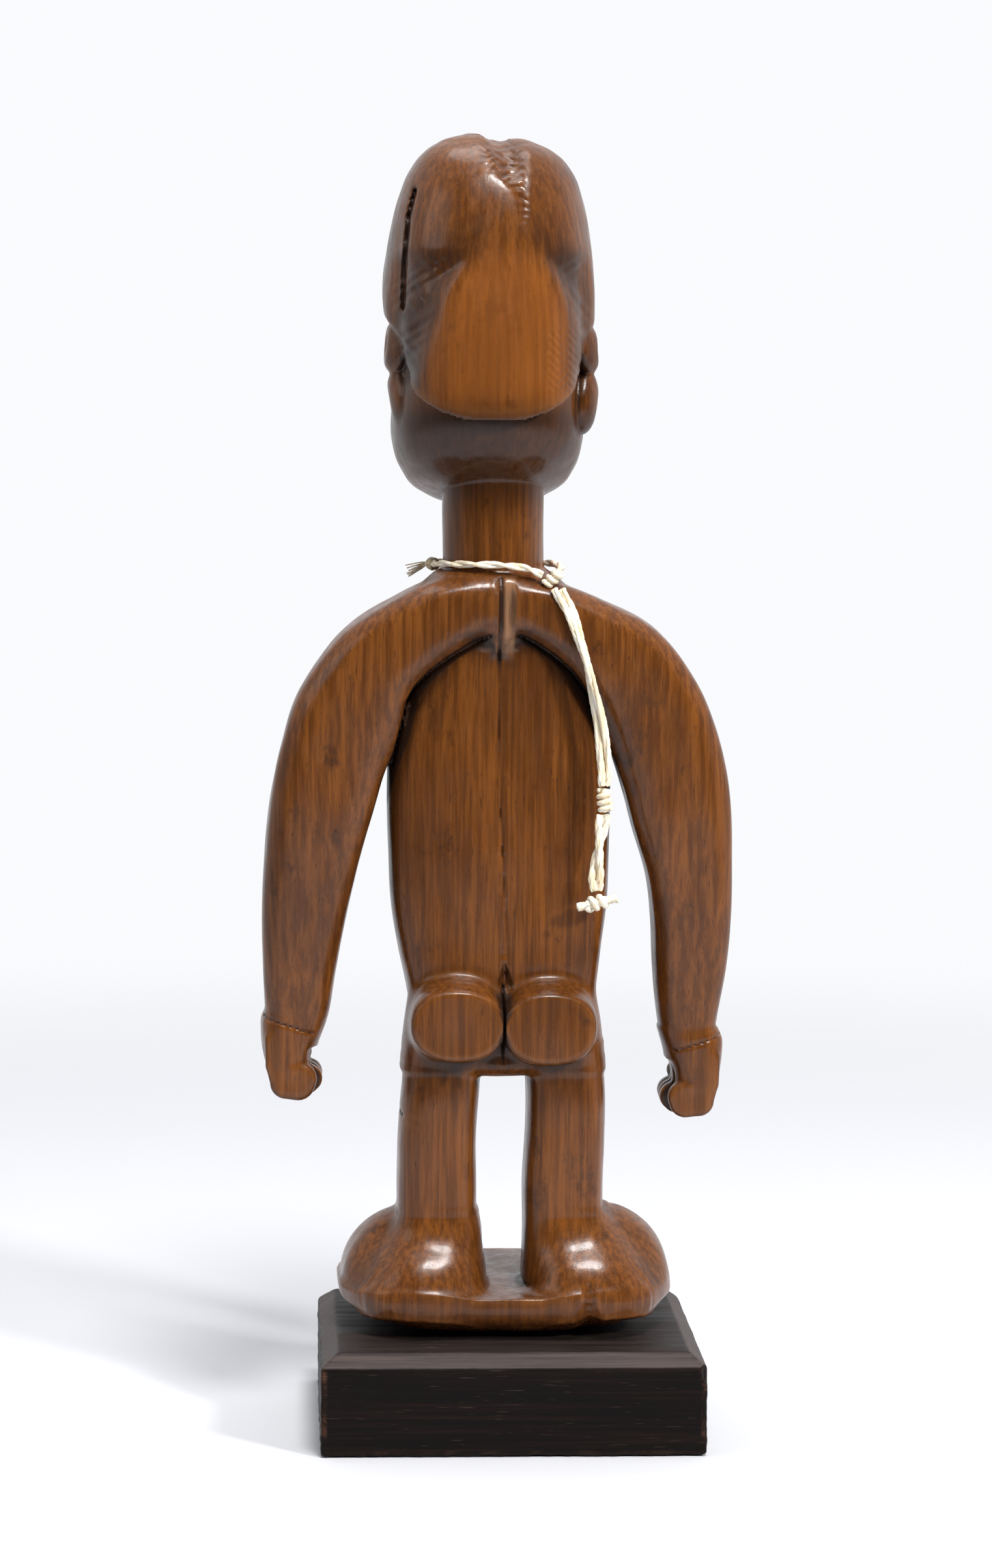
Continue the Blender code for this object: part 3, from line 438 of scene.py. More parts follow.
def column(rows, key, where):
    """A station table's column at places along its first one, on a smooth cubic."""
    rows = np.array(sorted(rows), float)
    x, y = rows[:, 0], rows[:, key]
    slope = np.gradient(y, x)
    where = np.clip(where, x[0], x[-1])
    i = np.clip(np.searchsorted(x, where) - 1, 0, len(x) - 2)
    span = x[i + 1] - x[i]
    t = (where - x[i]) / span
    low = (2 * t**3 - 3 * t**2 + 1) * y[i] + (t**3 - 2 * t**2 + t) * span * slope[i]
    high = (3 * t**2 - 2 * t**3) * y[i + 1] + (t**3 - t**2) * span * slope[i + 1]
    return (low + high).astype(np.float32)


def section(u, v, reach, roundness, corner=None):
    """1 on the outline of a rounded section and less inside. A corner under 2 planes its corners off."""
    right, left, above, below = reach
    u = np.abs(np.where(u > 0, u / right, u / left))
    v = np.abs(np.where(v > 0, v / above, v / below))
    outline = (u**roundness + v**roundness) ** (1 / roundness)
    return outline if corner is None else soft_max(outline, (u + v) / corner, 0.08)


def upright(rows, corner=None):
    """A form of rings stacked in height. A ring with a slope climbs towards the face."""
    heights = [row[0] for row in rows]
    lean = max(abs(row[7]) for row in rows) * 40
    widest = max(row[3] for row in rows)
    deepest = max(max(row[4], row[5]) for row in rows)
    x0, y0 = rows[0][1], rows[0][2]
    low = (x0 - widest - 6, y0 - deepest - 6, min(heights) - lean)
    high = (x0 + widest + 6, y0 + deepest + 6, max(heights) + lean)

    def distance(x, y, z):
        height = z + 0 * y
        for _ in range(5):
            height = z + column(rows, 7, height) * (y - column(rows, 2, height))
        cx, cy, width, behind, front, roundness = (column(rows, key, height) for key in range(1, 7))
        level = section(x - cx, y - cy, (width, width, behind, front), roundness, corner) - 1
        ends = np.maximum(min(heights) - height, height - max(heights))
        smallest = np.minimum(width, np.minimum(behind, front))
        return np.maximum(true_distance(level, VOXEL, smallest), ends)

    return low, high, distance


def along_y(rows, place, reaches):
    """A form of rings stacked along y: place gives a ring's centre, reaches its four reaches and roundness."""
    ys = [row[0] for row in rows]

    def distance(x, y, z):
        cx, cz = place(y)
        *reach, roundness = reaches(y)
        level = section(x - cx, z - cz, reach, roundness) - 1 + 0 * y
        ends = np.maximum(min(ys) - y, y - max(ys))
        return np.maximum(true_distance(level, VOXEL, np.minimum(reach[0], reach[2])), ends)

    return distance


def limb(rows, corner):
    """A limb along a curve in a frontal plane, with its sections square to the curve."""
    steps = np.linspace(0, len(rows) - 1, 12 * len(rows))
    indexed = [(i, *row) for i, row in enumerate(rows)]
    path = np.array([column(indexed, key, steps) for key in range(1, 7)]).T
    ahead = np.gradient(path[:, [0, 2]], axis=0)
    ahead /= np.linalg.norm(ahead, axis=1)[:, None]
    low = path[:, :3].min(0) - 17
    high = path[:, :3].max(0) + 17

    def distance(x, y, z):
        x, z = x + 0 * z, z + 0 * x
        nearest = np.full(x.shape, 1e9, np.float32)
        which = np.zeros(x.shape, int)
        for i, (px, _, pz, *_) in enumerate(path):
            away = (x - px) ** 2 + (z - pz) ** 2
            closer = away < nearest
            nearest[closer] = away[closer]
            which[closer] = i
        tx, tz = ahead[which, 0], ahead[which, 1]
        dx, dz = x - path[which, 0], z - path[which, 2]
        along, across = dx * tx + dz * tz, dx * tz - dz * tx
        place = steps[which] + np.clip(along / 1.2, -0.5, 0.5) * (steps[1] - steps[0])
        cy, width, depth, roundness = (column(indexed, key, place) for key in (2, 4, 5, 6))
        level = section(across, y - cy, (width, width, depth, depth), roundness, corner) - 1
        beyond = np.where((which == 0) | (which == len(path) - 1), np.abs(along) - 1, -9.0)
        return np.maximum(true_distance(level, VOXEL, np.minimum(width, depth)), beyond)

    return low, high, distance


def ellipsoid(centre, sizes, turn=0, spin=0):
    """An ellipsoid turned about y and then about z, in degrees."""
    squared = np.array(sizes, np.float32) ** 2
    reach = max(sizes)
    low = [place - reach for place in centre]
    high = [place + reach for place in centre]
    axes = np.array(Matrix.Rotation(math.radians(spin), 3, "Z") @ Matrix.Rotation(math.radians(-turn), 3, "Y"))

    def distance(x, y, z):
        gaps = (x - centre[0], y - centre[1], z - centre[2])
        near, steep = 0, 0
        for i in range(3):
            along = sum(np.float32(axes[k, i]) * gaps[k] for k in range(3)) ** 2
            near = near + along / squared[i]
            steep = steep + along / squared[i] ** 2
        near = np.sqrt(near)
        return near * (near - 1) / np.maximum(np.sqrt(steep), 1e-4)

    return low, high, distance


def rope(points):
    """A round bar through points given as x, y, z and radius."""
    points = np.array(points, np.float32)
    low = (points[:, :3] - points[:, 3:]).min(0)
    high = (points[:, :3] + points[:, 3:]).max(0)

    def distance(x, y, z):
        best = 40.0
        for a, b in zip(points, points[1:]):
            d = b - a
            length = max(float(d[:3] @ d[:3]), 1e-6)
            t = np.clip(((x - a[0]) * d[0] + (y - a[1]) * d[1] + (z - a[2]) * d[2]) / length, 0, 1)
            away = (x - a[0] - t * d[0]) ** 2 + (y - a[1] - t * d[1]) ** 2 + (z - a[2] - t * d[2]) ** 2
            best = np.minimum(best, np.sqrt(away) - a[3] - t * d[3])
        return best

    return low, high, distance


def slab_of(points, span):
    """A flat slab between two distances y, whose outline follows points of x, z and half width as a rope does."""
    low, high, round_bar = rope([(x, 0.0, z, radius) for x, z, radius in points])
    low[1], high[1] = span
    middle, half = (span[0] + span[1]) / 2, (span[1] - span[0]) / 2
    return low, high, lambda x, y, z: soft_max(round_bar(x, 0 * y, z), np.abs(y - middle) - half, 1.6)


def engrave(field, path, depth, behind=0.0, side=1):
    """Cuts a V groove into the surface along a path of x, z and half width, seen from the back (or the front)."""
    path = np.array(path, np.float32)
    low = [path[:, 0].min() - 3, behind if side > 0 else -60, path[:, 1].min() - 3]
    high = [path[:, 0].max() + 3, 60 if side > 0 else behind, path[:, 1].max() + 3]
    spans, (x, y, z) = field.block(low, high, margin=path[:, 2].max())
    x, z = x + 0 * z, z + 0 * x
    away = np.full(x.shape, 40.0, np.float32)
    for (ax, az, aw), (bx, bz, bw) in zip(path, path[1:]):
        dx, dz = bx - ax, bz - az
        t = np.clip(((x - ax) * dx + (z - az) * dz) / max(dx * dx + dz * dz, 1e-6), 0, 1)
        gap = np.hypot(x - ax - t * dx, z - az - t * dz)
        away = np.minimum(away, (gap / (aw + t * (bw - aw)) - 1) * max(aw, bw))
    values = field.values[spans]
    widest = float(path[:, 2].max())
    floor = -values - depth * np.clip(-away / widest, 0, 1)
    cut = np.where((side * (y - behind) > 0) & (away < 0), np.maximum(away, floor), 40.0)
    field.values[spans] = np.maximum(values, -cut)


def relief(field, low, high, depth):
    """Moves the surface inwards by depth(x, y, z) inside a box: shallow carving and hatching."""
    spans, axes = field.block(low, high, margin=0)
    field.values[spans] += depth(*axes)


def smooth_step(value, start, end):
    t = np.clip((value - start) / (end - start), 0, 1)
    return t * t * (3 - 2 * t)


# ---------------------------------------------------------------- the doll's forms


def foot(side):
    """One foot with its five toes, where side is 1 for the left and -1 for the right."""
    shift = LEFT_FOOT_SHIFT if side > 0 else RIGHT_FOOT_SHIFT

    def place(y):
        return shift + side * column(FOOT, 1, y), FOOT_CENTRE

    def reaches(y):
        outer, inner, height, roundness = (column(FOOT, key, y) for key in (2, 3, 4, 5))
        right, left = (outer, inner) if side > 0 else (inner, outer)
        return right, left, height, FOOT_DEPTH, roundness

    middle = shift + side * 27.5
    low = (middle - 24, -38.5, FOOT_CENTRE - FOOT_DEPTH)
    high = (middle + 24, 22.0, FOOT_CENTRE + 27)
    toes = [ellipsoid((shift + side * x, y, 42.75), (3.3, 5.2, 4.4)) for x, y in TOES]
    heel = [(z, shift + side * x, *rest) for z, x, *rest in HEEL]
    return (low, high, along_y(FOOT, place, reaches)), upright(heel), toes


def buttock(middle_x, middle_z):
    def place(y):
        return middle_x, middle_z + column(BUTTOCK, 3, y)

    def reaches(y):
        width, height = column(BUTTOCK, 1, y), column(BUTTOCK, 2, y)
        return width, width, height, height, 2.3

    low = (middle_x - 16, 4, middle_z - 15)
    high = (middle_x + 16, 25.2, middle_z + 18)
    return low, high, along_y(BUTTOCK, place, reaches)


def hand_place(side, x, z):
    """A left-hand place in x and z, mirrored and shifted where the hand is the right one."""
    return (x, z) if side > 0 else (HAND_MIRROR[0] - x, z + HAND_MIRROR[1])


def hand(field, side):
    """A closed hand: the palm, the four fingers curled under it with grooves between, and the thumb in front."""
    palm = []
    for z, x, *rest in PALM:
        px, pz = hand_place(side, x, z)
        palm.append((pz, px, *rest))
    add(field, upright(palm), 0.8)
    for outline, span in ((REAR_FINGER, REAR_FINGER_SPAN), (FRONT_FINGERS, FRONT_FINGER_SPAN)):
        placed = [(*hand_place(side, x, z), radius) for x, z, radius in outline]
        add(field, slab_of(placed, span), 0.8)
    thumb = []
    for x, y, z, radius in THUMB:
        px, pz = hand_place(side, x, z)
        thumb.append((px, y, pz, radius))
    add(field, rope(thumb), 1.0)
    (x0, z0), (x1, z1) = hand_place(side, 48.0, 92.0), hand_place(side, 76.0, 112.0)

    def gaps(x, y, z):
        nearest = np.minimum.reduce([np.abs(y - gap) for gap in FINGER_GAPS])
        return 1.1 * (1 - smooth_step(nearest, 0.15, 0.95)) * (1 - smooth_step(z, z1 - 5.0, z1)) + 0 * x

    relief(field, (min(x0, x1), -13, z0), (max(x0, x1), 9, z1), gaps)
    crease = [(*hand_place(side, x, z), width) for x, z, width in ((72.0, 119.9, 0.6), (57.0, 114.9, 0.5))]
    engrave(field, crease, 0.8, behind=0.0)


def minus(shape, cutter, k):
    """A shape with a cutter's shape taken out of it, before it is added to anything."""
    low, high, body = shape
    hole = cutter[2]
    return low, high, lambda x, y, z: soft_max(body(x, y, z), -hole(x, y, z), k)


def add_all(field, forms):
    for centre, sizes, turn, fillet in forms:
        add(field, ellipsoid(centre, sizes, turn), fillet)


def carve_all(field, forms):
    for centre, sizes, turn, brink in forms:
        carve(field, ellipsoid(centre, sizes, turn), brink)


def crown_wrinkles(x, y, z):
    """Horizontal chisel marks in the wedge between the two crowns."""
    fall = smooth_step(z, 347.0, 367.0) ** 2
    middle, width = -1.4 + 6.2 * fall, 1.4 + 6.0 * fall
    inside = (1 - smooth_step(np.abs(x - middle) / width, 0.2, 1.2)) * smooth_step(z, 345.0, 351.0)
    inside = inside * smooth_step(y, -12.0, 2.0)
    wobble = 0.9 * np.sin(0.75 * x + 0.31 * z) + 0.5 * np.sin(1.7 * x)
    marks = 0.5 + 0.5 * np.sin(math.tau * (z + wobble) / 2.3)
    return inside * (0.15 + 0.45 * marks)


def beyond_panel(x, z):
    """How far a place on the back of the head lies outside the smooth panel's edges."""
    left, right = (column(rows, 1, z) for rows in (PANEL_LEFT, PANEL_RIGHT))
    return np.maximum(x - left, right - x)


def panel_flanks(x, y, z):
    """Rough hollows at both sides of the smooth panel that runs up the back of the head."""
    beyond = beyond_panel(x, z)
    level = smooth_step(z, 298.0, 306.0) * (1 - smooth_step(z, 333.0, 341.0)) * smooth_step(y, 8.0, 17.0)
    first = np.sin(0.9 * x + 1.5 * z + 2.2 * np.sin(0.31 * x + 0.37 * z))
    second = np.sin(1.1 * z - 1.5 * x + 1.9 * np.sin(0.43 * z - 0.29 * x) + 1.0)
    chips = 0.13 * (first + 0.7 * second) * smooth_step(beyond, 0.0, 3.0)
    return level * (2.0 * smooth_step(beyond, -1.4, 4.6) + chips)


def panel_hatching(x, y, z):
    """Herringbone tooling on the lower right of the panel at the back of the head."""
    inside = smooth_step(-x, 5.0, 9.0) * (1 - smooth_step(-x, 15.0, 19.0))
    inside = inside * smooth_step(z, 298.0, 303.0) * (1 - smooth_step(z, 315.0, 321.0))
    inside = inside * smooth_step(y, 8.0, 14.0)
    lean = np.abs(np.mod(-x, 5.6) - 2.8)
    marks = np.maximum(0, np.sin(math.tau * (z + 1.1 * lean) / 2.4))
    return 0.32 * inside * marks


def model_figure():
    field = Field((-68.0, -46.0, 27.0), (76.0, 44.0, 376.0), VOXEL)
    add(field, upright(TORSO, corner=1.74), 0)
    for rows in (LEFT_ARM, RIGHT_ARM):
        add(field, limb(rows, 1.66), 0.6)
    add(field, upright(YOKE), 3.0)
    add_all(field, FRONT_FORMS)
    for middle in ((15.4, 119.6), (-11.0, 118.8)):
        add(field, buttock(*middle), 2.8)
    add_all(field, HIPS)
    for rows in (LEFT_LEG, RIGHT_LEG):
        add(field, upright(rows), 2.2)
    add(field, upright(SLAB), 0)
    for side in (1, -1):
        instep, heel, toes = foot(side)
        add(field, instep, 3.0)
        add(field, heel, 4.0)
        for toe in toes:
            add(field, toe, 0.8)
        hand(field, side)
    add(field, upright(NECK), 1.0)
    add(field, upright(SKULL), 1.0)
    add_all(field, CHEEK_FORMS)
    hair = upright(HAIR)
    for bay in EAR_BAYS:
        hair = minus(hair, ellipsoid(*bay), 1.2)
    add(field, hair, 0.2)
    carve(field, rope(CROWN_NOTCH), 4.5)
    add_all(field, BROWS)
    carve_all(field, EYE_SOCKETS)
    add(field, upright(NOSE), 2.2)
    add_all(field, FACE_FORMS)
    carve_all(field, FACE_CUTS)
    for centre, sizes, turn, spin, fillet in EARS:
        add(field, ellipsoid(centre, sizes, turn, spin), fillet)
    for centre, sizes, turn, spin, brink in EAR_HOLLOWS:
        carve(field, ellipsoid(centre, sizes, turn, spin), brink)
    carve_all(field, GOUGES)
    carve_all(field, FRONT_CUTS)
    relief(field, (-8, -14, 345), (16, 30, 375), crown_wrinkles)
    relief(field, (-28, 6, 296), (40, 40, 346), panel_flanks)
    relief(field, (-22, 6, 296), (-2, 40, 323), panel_hatching)
    for path, depth in GROOVES:
        engrave(field, path, depth, behind=4.0)
    for spot in SCREW_SPOTS:
        carve(field, rope([(*spot, 20.0, 2.0), (*spot, 45.3, 2.0)]), 0)
    return field


# ---------------------------------------------------------------- fields into meshes


def surface_net(field):
    """The points, in mm, and four-sided faces of the surface where the field is zero."""
    values, inside = field.values, field.values < 0
    tally = np.zeros([n - 1 for n in field.count], np.uint8)
    for i, j, k in itertools.product((0, 1), repeat=3):
        tally += inside[i : i - 1 or None, j : j - 1 or None, k : k - 1 or None]
    cells = np.argwhere((tally > 0) & (tally < 8))
    number = np.full(tally.shape, -1, np.int32)
    number[tuple(cells.T)] = np.arange(len(cells))
    total, hits = np.zeros((len(cells), 3)), np.zeros(len(cells))
    for axis in range(3):
        others = [a for a in range(3) if a != axis]
        for corner in itertools.product((0, 1), repeat=2):
            start = np.zeros(3, int)
            start[others] = corner
            end = start.copy()
            end[axis] = 1
            a, b = values[tuple((cells + start).T)], values[tuple((cells + end).T)]
            crosses = (a < 0) != (b < 0)
            share = a[crosses] / (a[crosses] - b[crosses])
            spot = np.tile(start.astype(float), (len(share), 1))
            spot[:, axis] = share
            total[crosses] += spot
            hits[crosses] += 1
    points = (cells + total / hits[:, None]) * field.step + field.low
    faces = []
    for axis in range(3):
        step = np.zeros(3, int)
        step[axis] = 1
        size = np.array(field.count) - step
        first, second = (np.eye(3, dtype=int)[(axis + n) % 3] for n in (1, 2))
        here = inside[: size[0], : size[1], : size[2]]
        beyond = inside[step[0] :, step[1] :, step[2] :]
        edges = np.argwhere(here != beyond)
        around = (edges, edges - first, edges - first - second, edges - second)
        quads = np.stack([number[tuple(cell.T)] for cell in around], 1)
        turned = ~here[tuple(edges.T)]
        quads[turned] = quads[turned][:, ::-1]
        faces.append(quads)
    return points, np.concatenate(faces)


def slope_at(field, points):
    """Unit normals of the surface at points."""
    reach = field.step * 0.8
    normal = np.zeros_like(points)
    for axis in range(3):
        offset = np.zeros(3)
        offset[axis] = reach
        normal[:, axis] = field.at(points + offset) - field.at(points - offset)
    return normal / np.maximum(np.linalg.norm(normal, axis=1), 1e-9)[:, None]


def settled(field, points):
    """The points moved onto the field's zero surface."""
    for _ in range(2):
        points = points - slope_at(field, points) * np.clip(field.at(points), -0.4, 0.4)[:, None] * 0.7
    return points


def waves(points, scale, seed, grain=1.0, count=28):
    """Smooth seeded noise of about unit size, with features near the given size in mm, longer up the grain."""
    dice = np.random.default_rng(seed)
    points = points * (1.0, 1.0, grain)
    total = np.zeros(len(points))
    for _ in range(count):
        direction = dice.normal(size=3)
        direction /= np.linalg.norm(direction)
        rate = math.tau / (scale * dice.uniform(0.7, 1.6))
        total += np.sin(points @ direction * rate + dice.uniform(0, math.tau))
    return total / math.sqrt(count / 2)


def fitted(points, node):
    """The points scaled a little along each axis so that their box is the CAD node's."""
    low, high = (np.array(corner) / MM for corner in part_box(node))
    bottom, top = points.min(0), points.max(0)
    return low + (points - bottom) * (high - low) / (top - bottom)


def make_mesh(name, points, faces, layers=None):
    """A smooth mesh object from points in mm and an array of faces, with any point attributes."""
    mesh = bpy.data.meshes.new(name)
    mesh.vertices.add(len(points))
    mesh.vertices.foreach_set("co", (points * MM).astype(np.float32).ravel())
    sides = faces.shape[1]
    mesh.loops.add(faces.size)
    mesh.loops.foreach_set("vertex_index", faces.astype(np.int32).ravel())
    mesh.polygons.add(len(faces))
    mesh.polygons.foreach_set("loop_start", np.arange(0, faces.size, sides, dtype=np.int32))
    mesh.update(calc_edges=True)
    mesh.shade_smooth()
    for label, values in (layers or {}).items():
        layer = mesh.attributes.new(label, "FLOAT", "POINT")
        layer.data.foreach_set("value", values.astype(np.float32))
    obj = bpy.data.objects.new(name, mesh)
    bpy.context.scene.collection.objects.link(obj)
    return obj


def shade_and_wear_layers(field, points, normals):
    """How hollow and how exposed each point is, from 0 to 1, near by and further round. The carved wood paints shade,
    with some dirt, into the hollow and sheltered places and rubs its ridges light.
    """
    near = 1 - field.at(points + normals * 2.2) / 2.2
    far = 1 - field.at(points + normals * 8.0) / 8.0
    ridge = 1 + field.at(points - normals * 2.6) / 2.6
    return {
        "hollow": np.clip(near * 1.6, 0, 1),
        "shelter": np.clip(far * 1.25, 0, 1),
        "ridge": np.clip(ridge * 1.6, 0, 1),
    }


def panel_layers(points):
    """How far inside the head's smooth panel and how far into the dark flanks each point is, from 0 to 1."""
    x, y, z = points.T
    beyond = beyond_panel(x, z)
    head = smooth_step(z, 292.0, 304.0) * smooth_step(y, 6.0, 18.0)
    inside = (1 - smooth_step(beyond, -5.0, 0.5)) * (1 - smooth_step(z, 332.0, 346.0))
    outside = smooth_step(beyond, -1.5, 3.5) * (1 - smooth_step(beyond, 9.0, 20.0)) * (1 - smooth_step(z, 336.0, 352.0))
    return {"panel": inside * head, "flank": outside * head}


# ---------------------------------------------------------------- materials


class Finish:
    """A material whose nodes are added and joined by short calls."""

    def __init__(self, name):
        self.material = bpy.data.materials.new(name)
        self.material.use_nodes = True
        self.tree = self.material.node_tree
        self.shader = self.tree.nodes["Principled BSDF"]
        self.place = self.node("ShaderNodeTexCoord").outputs["Object"]

    def node(self, kind, inputs=None, **settings):
        made = self.tree.nodes.new(kind)
        for name, value in settings.items():
            setattr(made, name, value)
        for key, value in (inputs or {}).items():
            self.join(made.inputs[key], value)
        return made

    def join(self, socket, value):
        if isinstance(value, bpy.types.NodeSocket):
            self.tree.links.new(value, socket)
        else:
            socket.default_value = value

    def maths(self, operation, *values):
        inputs = dict(enumerate(values))
        return self.node("ShaderNodeMath", inputs, operation=operation).outputs[0]

    def spread(self, value, low, high, start=0.0, end=1.0):
        """The value remapped smoothly from low..high to start..end."""
        inputs = {"Value": value, "From Min": low, "From Max": high, "To Min": start, "To Max": end}
        return self.node("ShaderNodeMapRange", inputs, interpolation_type="SMOOTHSTEP").outputs[0]

    def stretched(self, scale):
        return self.node("ShaderNodeMapping", {"Vector": self.place, "Scale": scale}).outputs[0]

    def noise(self, scale, detail=3.0, roughness=0.5, distortion=0.0):
        """Noise whose scale is a number or one number for each axis, in features per metre."""
        scales = scale if isinstance(scale, tuple) else (scale,) * 3
        inputs = {"Vector": self.stretched(scales), "Scale": 1.0, "Detail": detail}
        inputs.update({"Roughness": roughness, "Distortion": distortion})
        return self.node("ShaderNodeTexNoise", inputs).outputs[0]

    def mix(self, share, first, second, blend="MIX"):
        made = self.node("ShaderNodeMix", data_type="RGBA", blend_type=blend)
        for index, value in ((0, share), (6, first), (7, second)):
            self.join(made.inputs[index], value)
        return made.outputs[2]

    def layer(self, name):
        return self.node("ShaderNodeAttribute", attribute_name=name).outputs["Fac"]

    def axis(self, index):
        return self.node("ShaderNodeSeparateXYZ", {0: self.place}).outputs[index]

    def bump(self, height, distance, strength=1.0, under=None):
        inputs = {"Height": height, "Distance": distance, "Strength": strength}
        if under:
            inputs["Normal"] = under
        return self.node("ShaderNodeBump", inputs).outputs[0]

    def finish(self, **inputs):
        for name, value in inputs.items():
            self.join(self.shader.inputs[name.replace("_", " ")], value)
        return self.material


def colour(red, green, blue):
    """A linear colour from eight-bit sRGB numbers."""
    parts = [part / 255 for part in (red, green, blue)]
    linear = [part / 12.92 if part <= 0.04045 else ((part + 0.055) / 1.055) ** 2.4 for part in parts]
    return (*linear, 1.0)


def carved_wood():
    """Close-grained brown wood under years of handling, rubbed light on its ridges; its hollows are dark with dirt and
    painted shade, its sheltered places with painted shade, and the neck under the hair's ledge with painted shadow and
    some patina.
    """
    wood = Finish("carved_wood_aged")
    grain = wood.noise((620.0, 620.0, 22.0), 5.0, 0.66, 0.2)
    fine = wood.noise((2100.0, 2100.0, 90.0), 3.0, 0.6)
    clouds = wood.noise((34.0, 34.0, 16.0), 3.0, 0.55)
    stains = wood.noise((95.0, 95.0, 60.0), 4.0, 0.7)
    base = wood.mix(wood.spread(grain, 0.36, 0.66), colour(80, 43, 13), colour(112, 64, 23))
    base = wood.mix(wood.spread(clouds, 0.42, 0.68, 0.0, 0.5), base, colour(62, 33, 13))
    base = wood.mix(wood.spread(fine, 0.5, 0.75, 0.0, 0.4), base, colour(52, 28, 11))
    base = wood.mix(wood.spread(stains, 0.58, 0.74, 0.0, 0.65), base, colour(38, 21, 11))
    pores = wood.noise((2300.0, 2300.0, 210.0), 2.0, 0.5)
    specks = wood.spread(pores, 0.67, 0.76)
    base = wood.mix(wood.maths("MULTIPLY", specks, 0.7), base, colour(26, 14, 8))
    rubbed = wood.maths("MULTIPLY", wood.layer("ridge"), wood.spread(stains, 0.35, 0.65, 0.12, 0.42))
    base = wood.mix(rubbed, base, colour(132, 84, 44))
    # Painted shade, with some dirt: the hollows are darkened nearly to black; the same mask also roughens them.
    grime_and_shade = wood.spread(wood.layer("hollow"), 0.22, 0.8, 0.0, 0.85)
    base = wood.mix(grime_and_shade, base, colour(20, 11, 7))
    # Painted shade: places sheltered within 8 mm, such as the armpits, are darkened.
    base = wood.mix(wood.spread(wood.layer("shelter"), 0.3, 0.95, 0.0, 0.5), base, colour(34, 18, 9))
    base = wood.mix(wood.maths("MULTIPLY", wood.layer("panel"), 0.34), base, colour(144, 82, 32))
    flank = wood.maths("MULTIPLY", wood.layer("flank"), wood.spread(stains, 0.3, 0.6, 0.45, 0.85))
    base = wood.mix(flank, base, colour(38, 20, 10))
    # Painted shadow under the hair's ledge, with some patina: the back of the neck is darkened between 262 and 299 mm
    # up.
    nape_shadow_and_patina = wood.maths("MULTIPLY", wood.spread(wood.axis(2), 0.291, 0.299, 0.7, 0.0), wood.spread(wood.axis(2), 0.262, 0.274))
    nape_shadow_and_patina = wood.maths("MULTIPLY", nape_shadow_and_patina, wood.spread(wood.axis(1), -0.012, 0.014))
    base = wood.mix(nape_shadow_and_patina, base, colour(36, 18, 8))
    aside = wood.maths("ABSOLUTE", wood.maths("SUBTRACT", wood.axis(0), 0.0016))
    dusty = wood.maths("MULTIPLY", wood.spread(aside, 0.0008, 0.0021, 0.75, 0.0), wood.spread(wood.axis(1), 0.006, 0.012))
    dusty = wood.maths("MULTIPLY", dusty, wood.spread(wood.axis(2), 0.222, 0.231))
    dusty = wood.maths("MULTIPLY", dusty, wood.spread(wood.axis(2), 0.246, 0.249, 1.0, 0.0))
    base = wood.mix(wood.maths("MULTIPLY", dusty, wood.spread(grain, 0.3, 0.6, 0.5, 1.0)), base, colour(148, 108, 78))
    rough = wood.spread(wood.noise((420.0, 420.0, 160.0), 3.0), 0.3, 0.7, 0.24, 0.37)
    rough = wood.maths("ADD", rough, wood.maths("MULTIPLY", grime_and_shade, 0.25))
    deep = wood.bump(specks, 0.0001, 0.5)
    normal = wood.bump(grain, 0.00012, 0.55, deep)
    normal = wood.bump(wood.noise((120.0, 120.0, 30.0), 2.0), 0.0003, 0.3, normal)
    return wood.finish(
        Base_Color=base, Roughness=rough, Normal=normal, Specular_IOR_Level=0.29, Coat_Weight=0.17, Coat_Roughness=0.1
    )


def dark_wood():
    """Open-grained hardwood stained nearly black, worn orange-brown along its arrises."""
    wood = Finish("dark_stained_wood")
    grain = wood.noise((16.0, 260.0, 900.0), 5.0, 0.65, 0.15)
    base = wood.mix(wood.spread(grain, 0.4, 0.7), colour(10, 7, 6), colour(25, 16, 13))
    specks = wood.spread(wood.noise((110.0, 900.0, 1900.0), 2.0, 0.5), 0.66, 0.74)
    base = wood.mix(wood.maths("MULTIPLY", specks, 0.18), base, colour(104, 84, 74))
    worn = wood.spread(wood.noise(150.0, 4.0, 0.7), 0.45, 0.66, 0.08, 1.0)
    worn = wood.maths("MULTIPLY", wood.spread(wood.layer("ridge"), 0.35, 0.9), worn)
    worn = wood.maths("MULTIPLY", worn, wood.spread(wood.axis(2), 0.002, 0.008, 0.1, 0.55))
    base = wood.mix(worn, base, colour(100, 66, 48))
    # Painted reflection: faces turned up at the chamfer's slope are greyed, the flat top less, as if the pale backdrop
    # shone in them.
    upward = wood.node("ShaderNodeSeparateXYZ", {0: wood.node("ShaderNodeNewGeometry").outputs["Normal"]}).outputs[2]
    backdrop_reflection = wood.maths("MULTIPLY", wood.spread(upward, 0.5, 0.76), wood.spread(upward, 0.86, 0.98, 1.0, 0.25))
    backdrop_reflection = wood.maths("MULTIPLY", backdrop_reflection, wood.spread(grain, 0.3, 0.65, 0.25, 0.6))
    base = wood.mix(backdrop_reflection, base, colour(92, 80, 76))
    rough = wood.spread(grain, 0.3, 0.7, 0.4, 0.58)
    normal = wood.bump(specks, 0.00012, 0.6, wood.bump(grain, 0.00018, 0.6))
    return wood.finish(Base_Color=base, Roughness=rough, Normal=normal, Specular_IOR_Level=0.12)


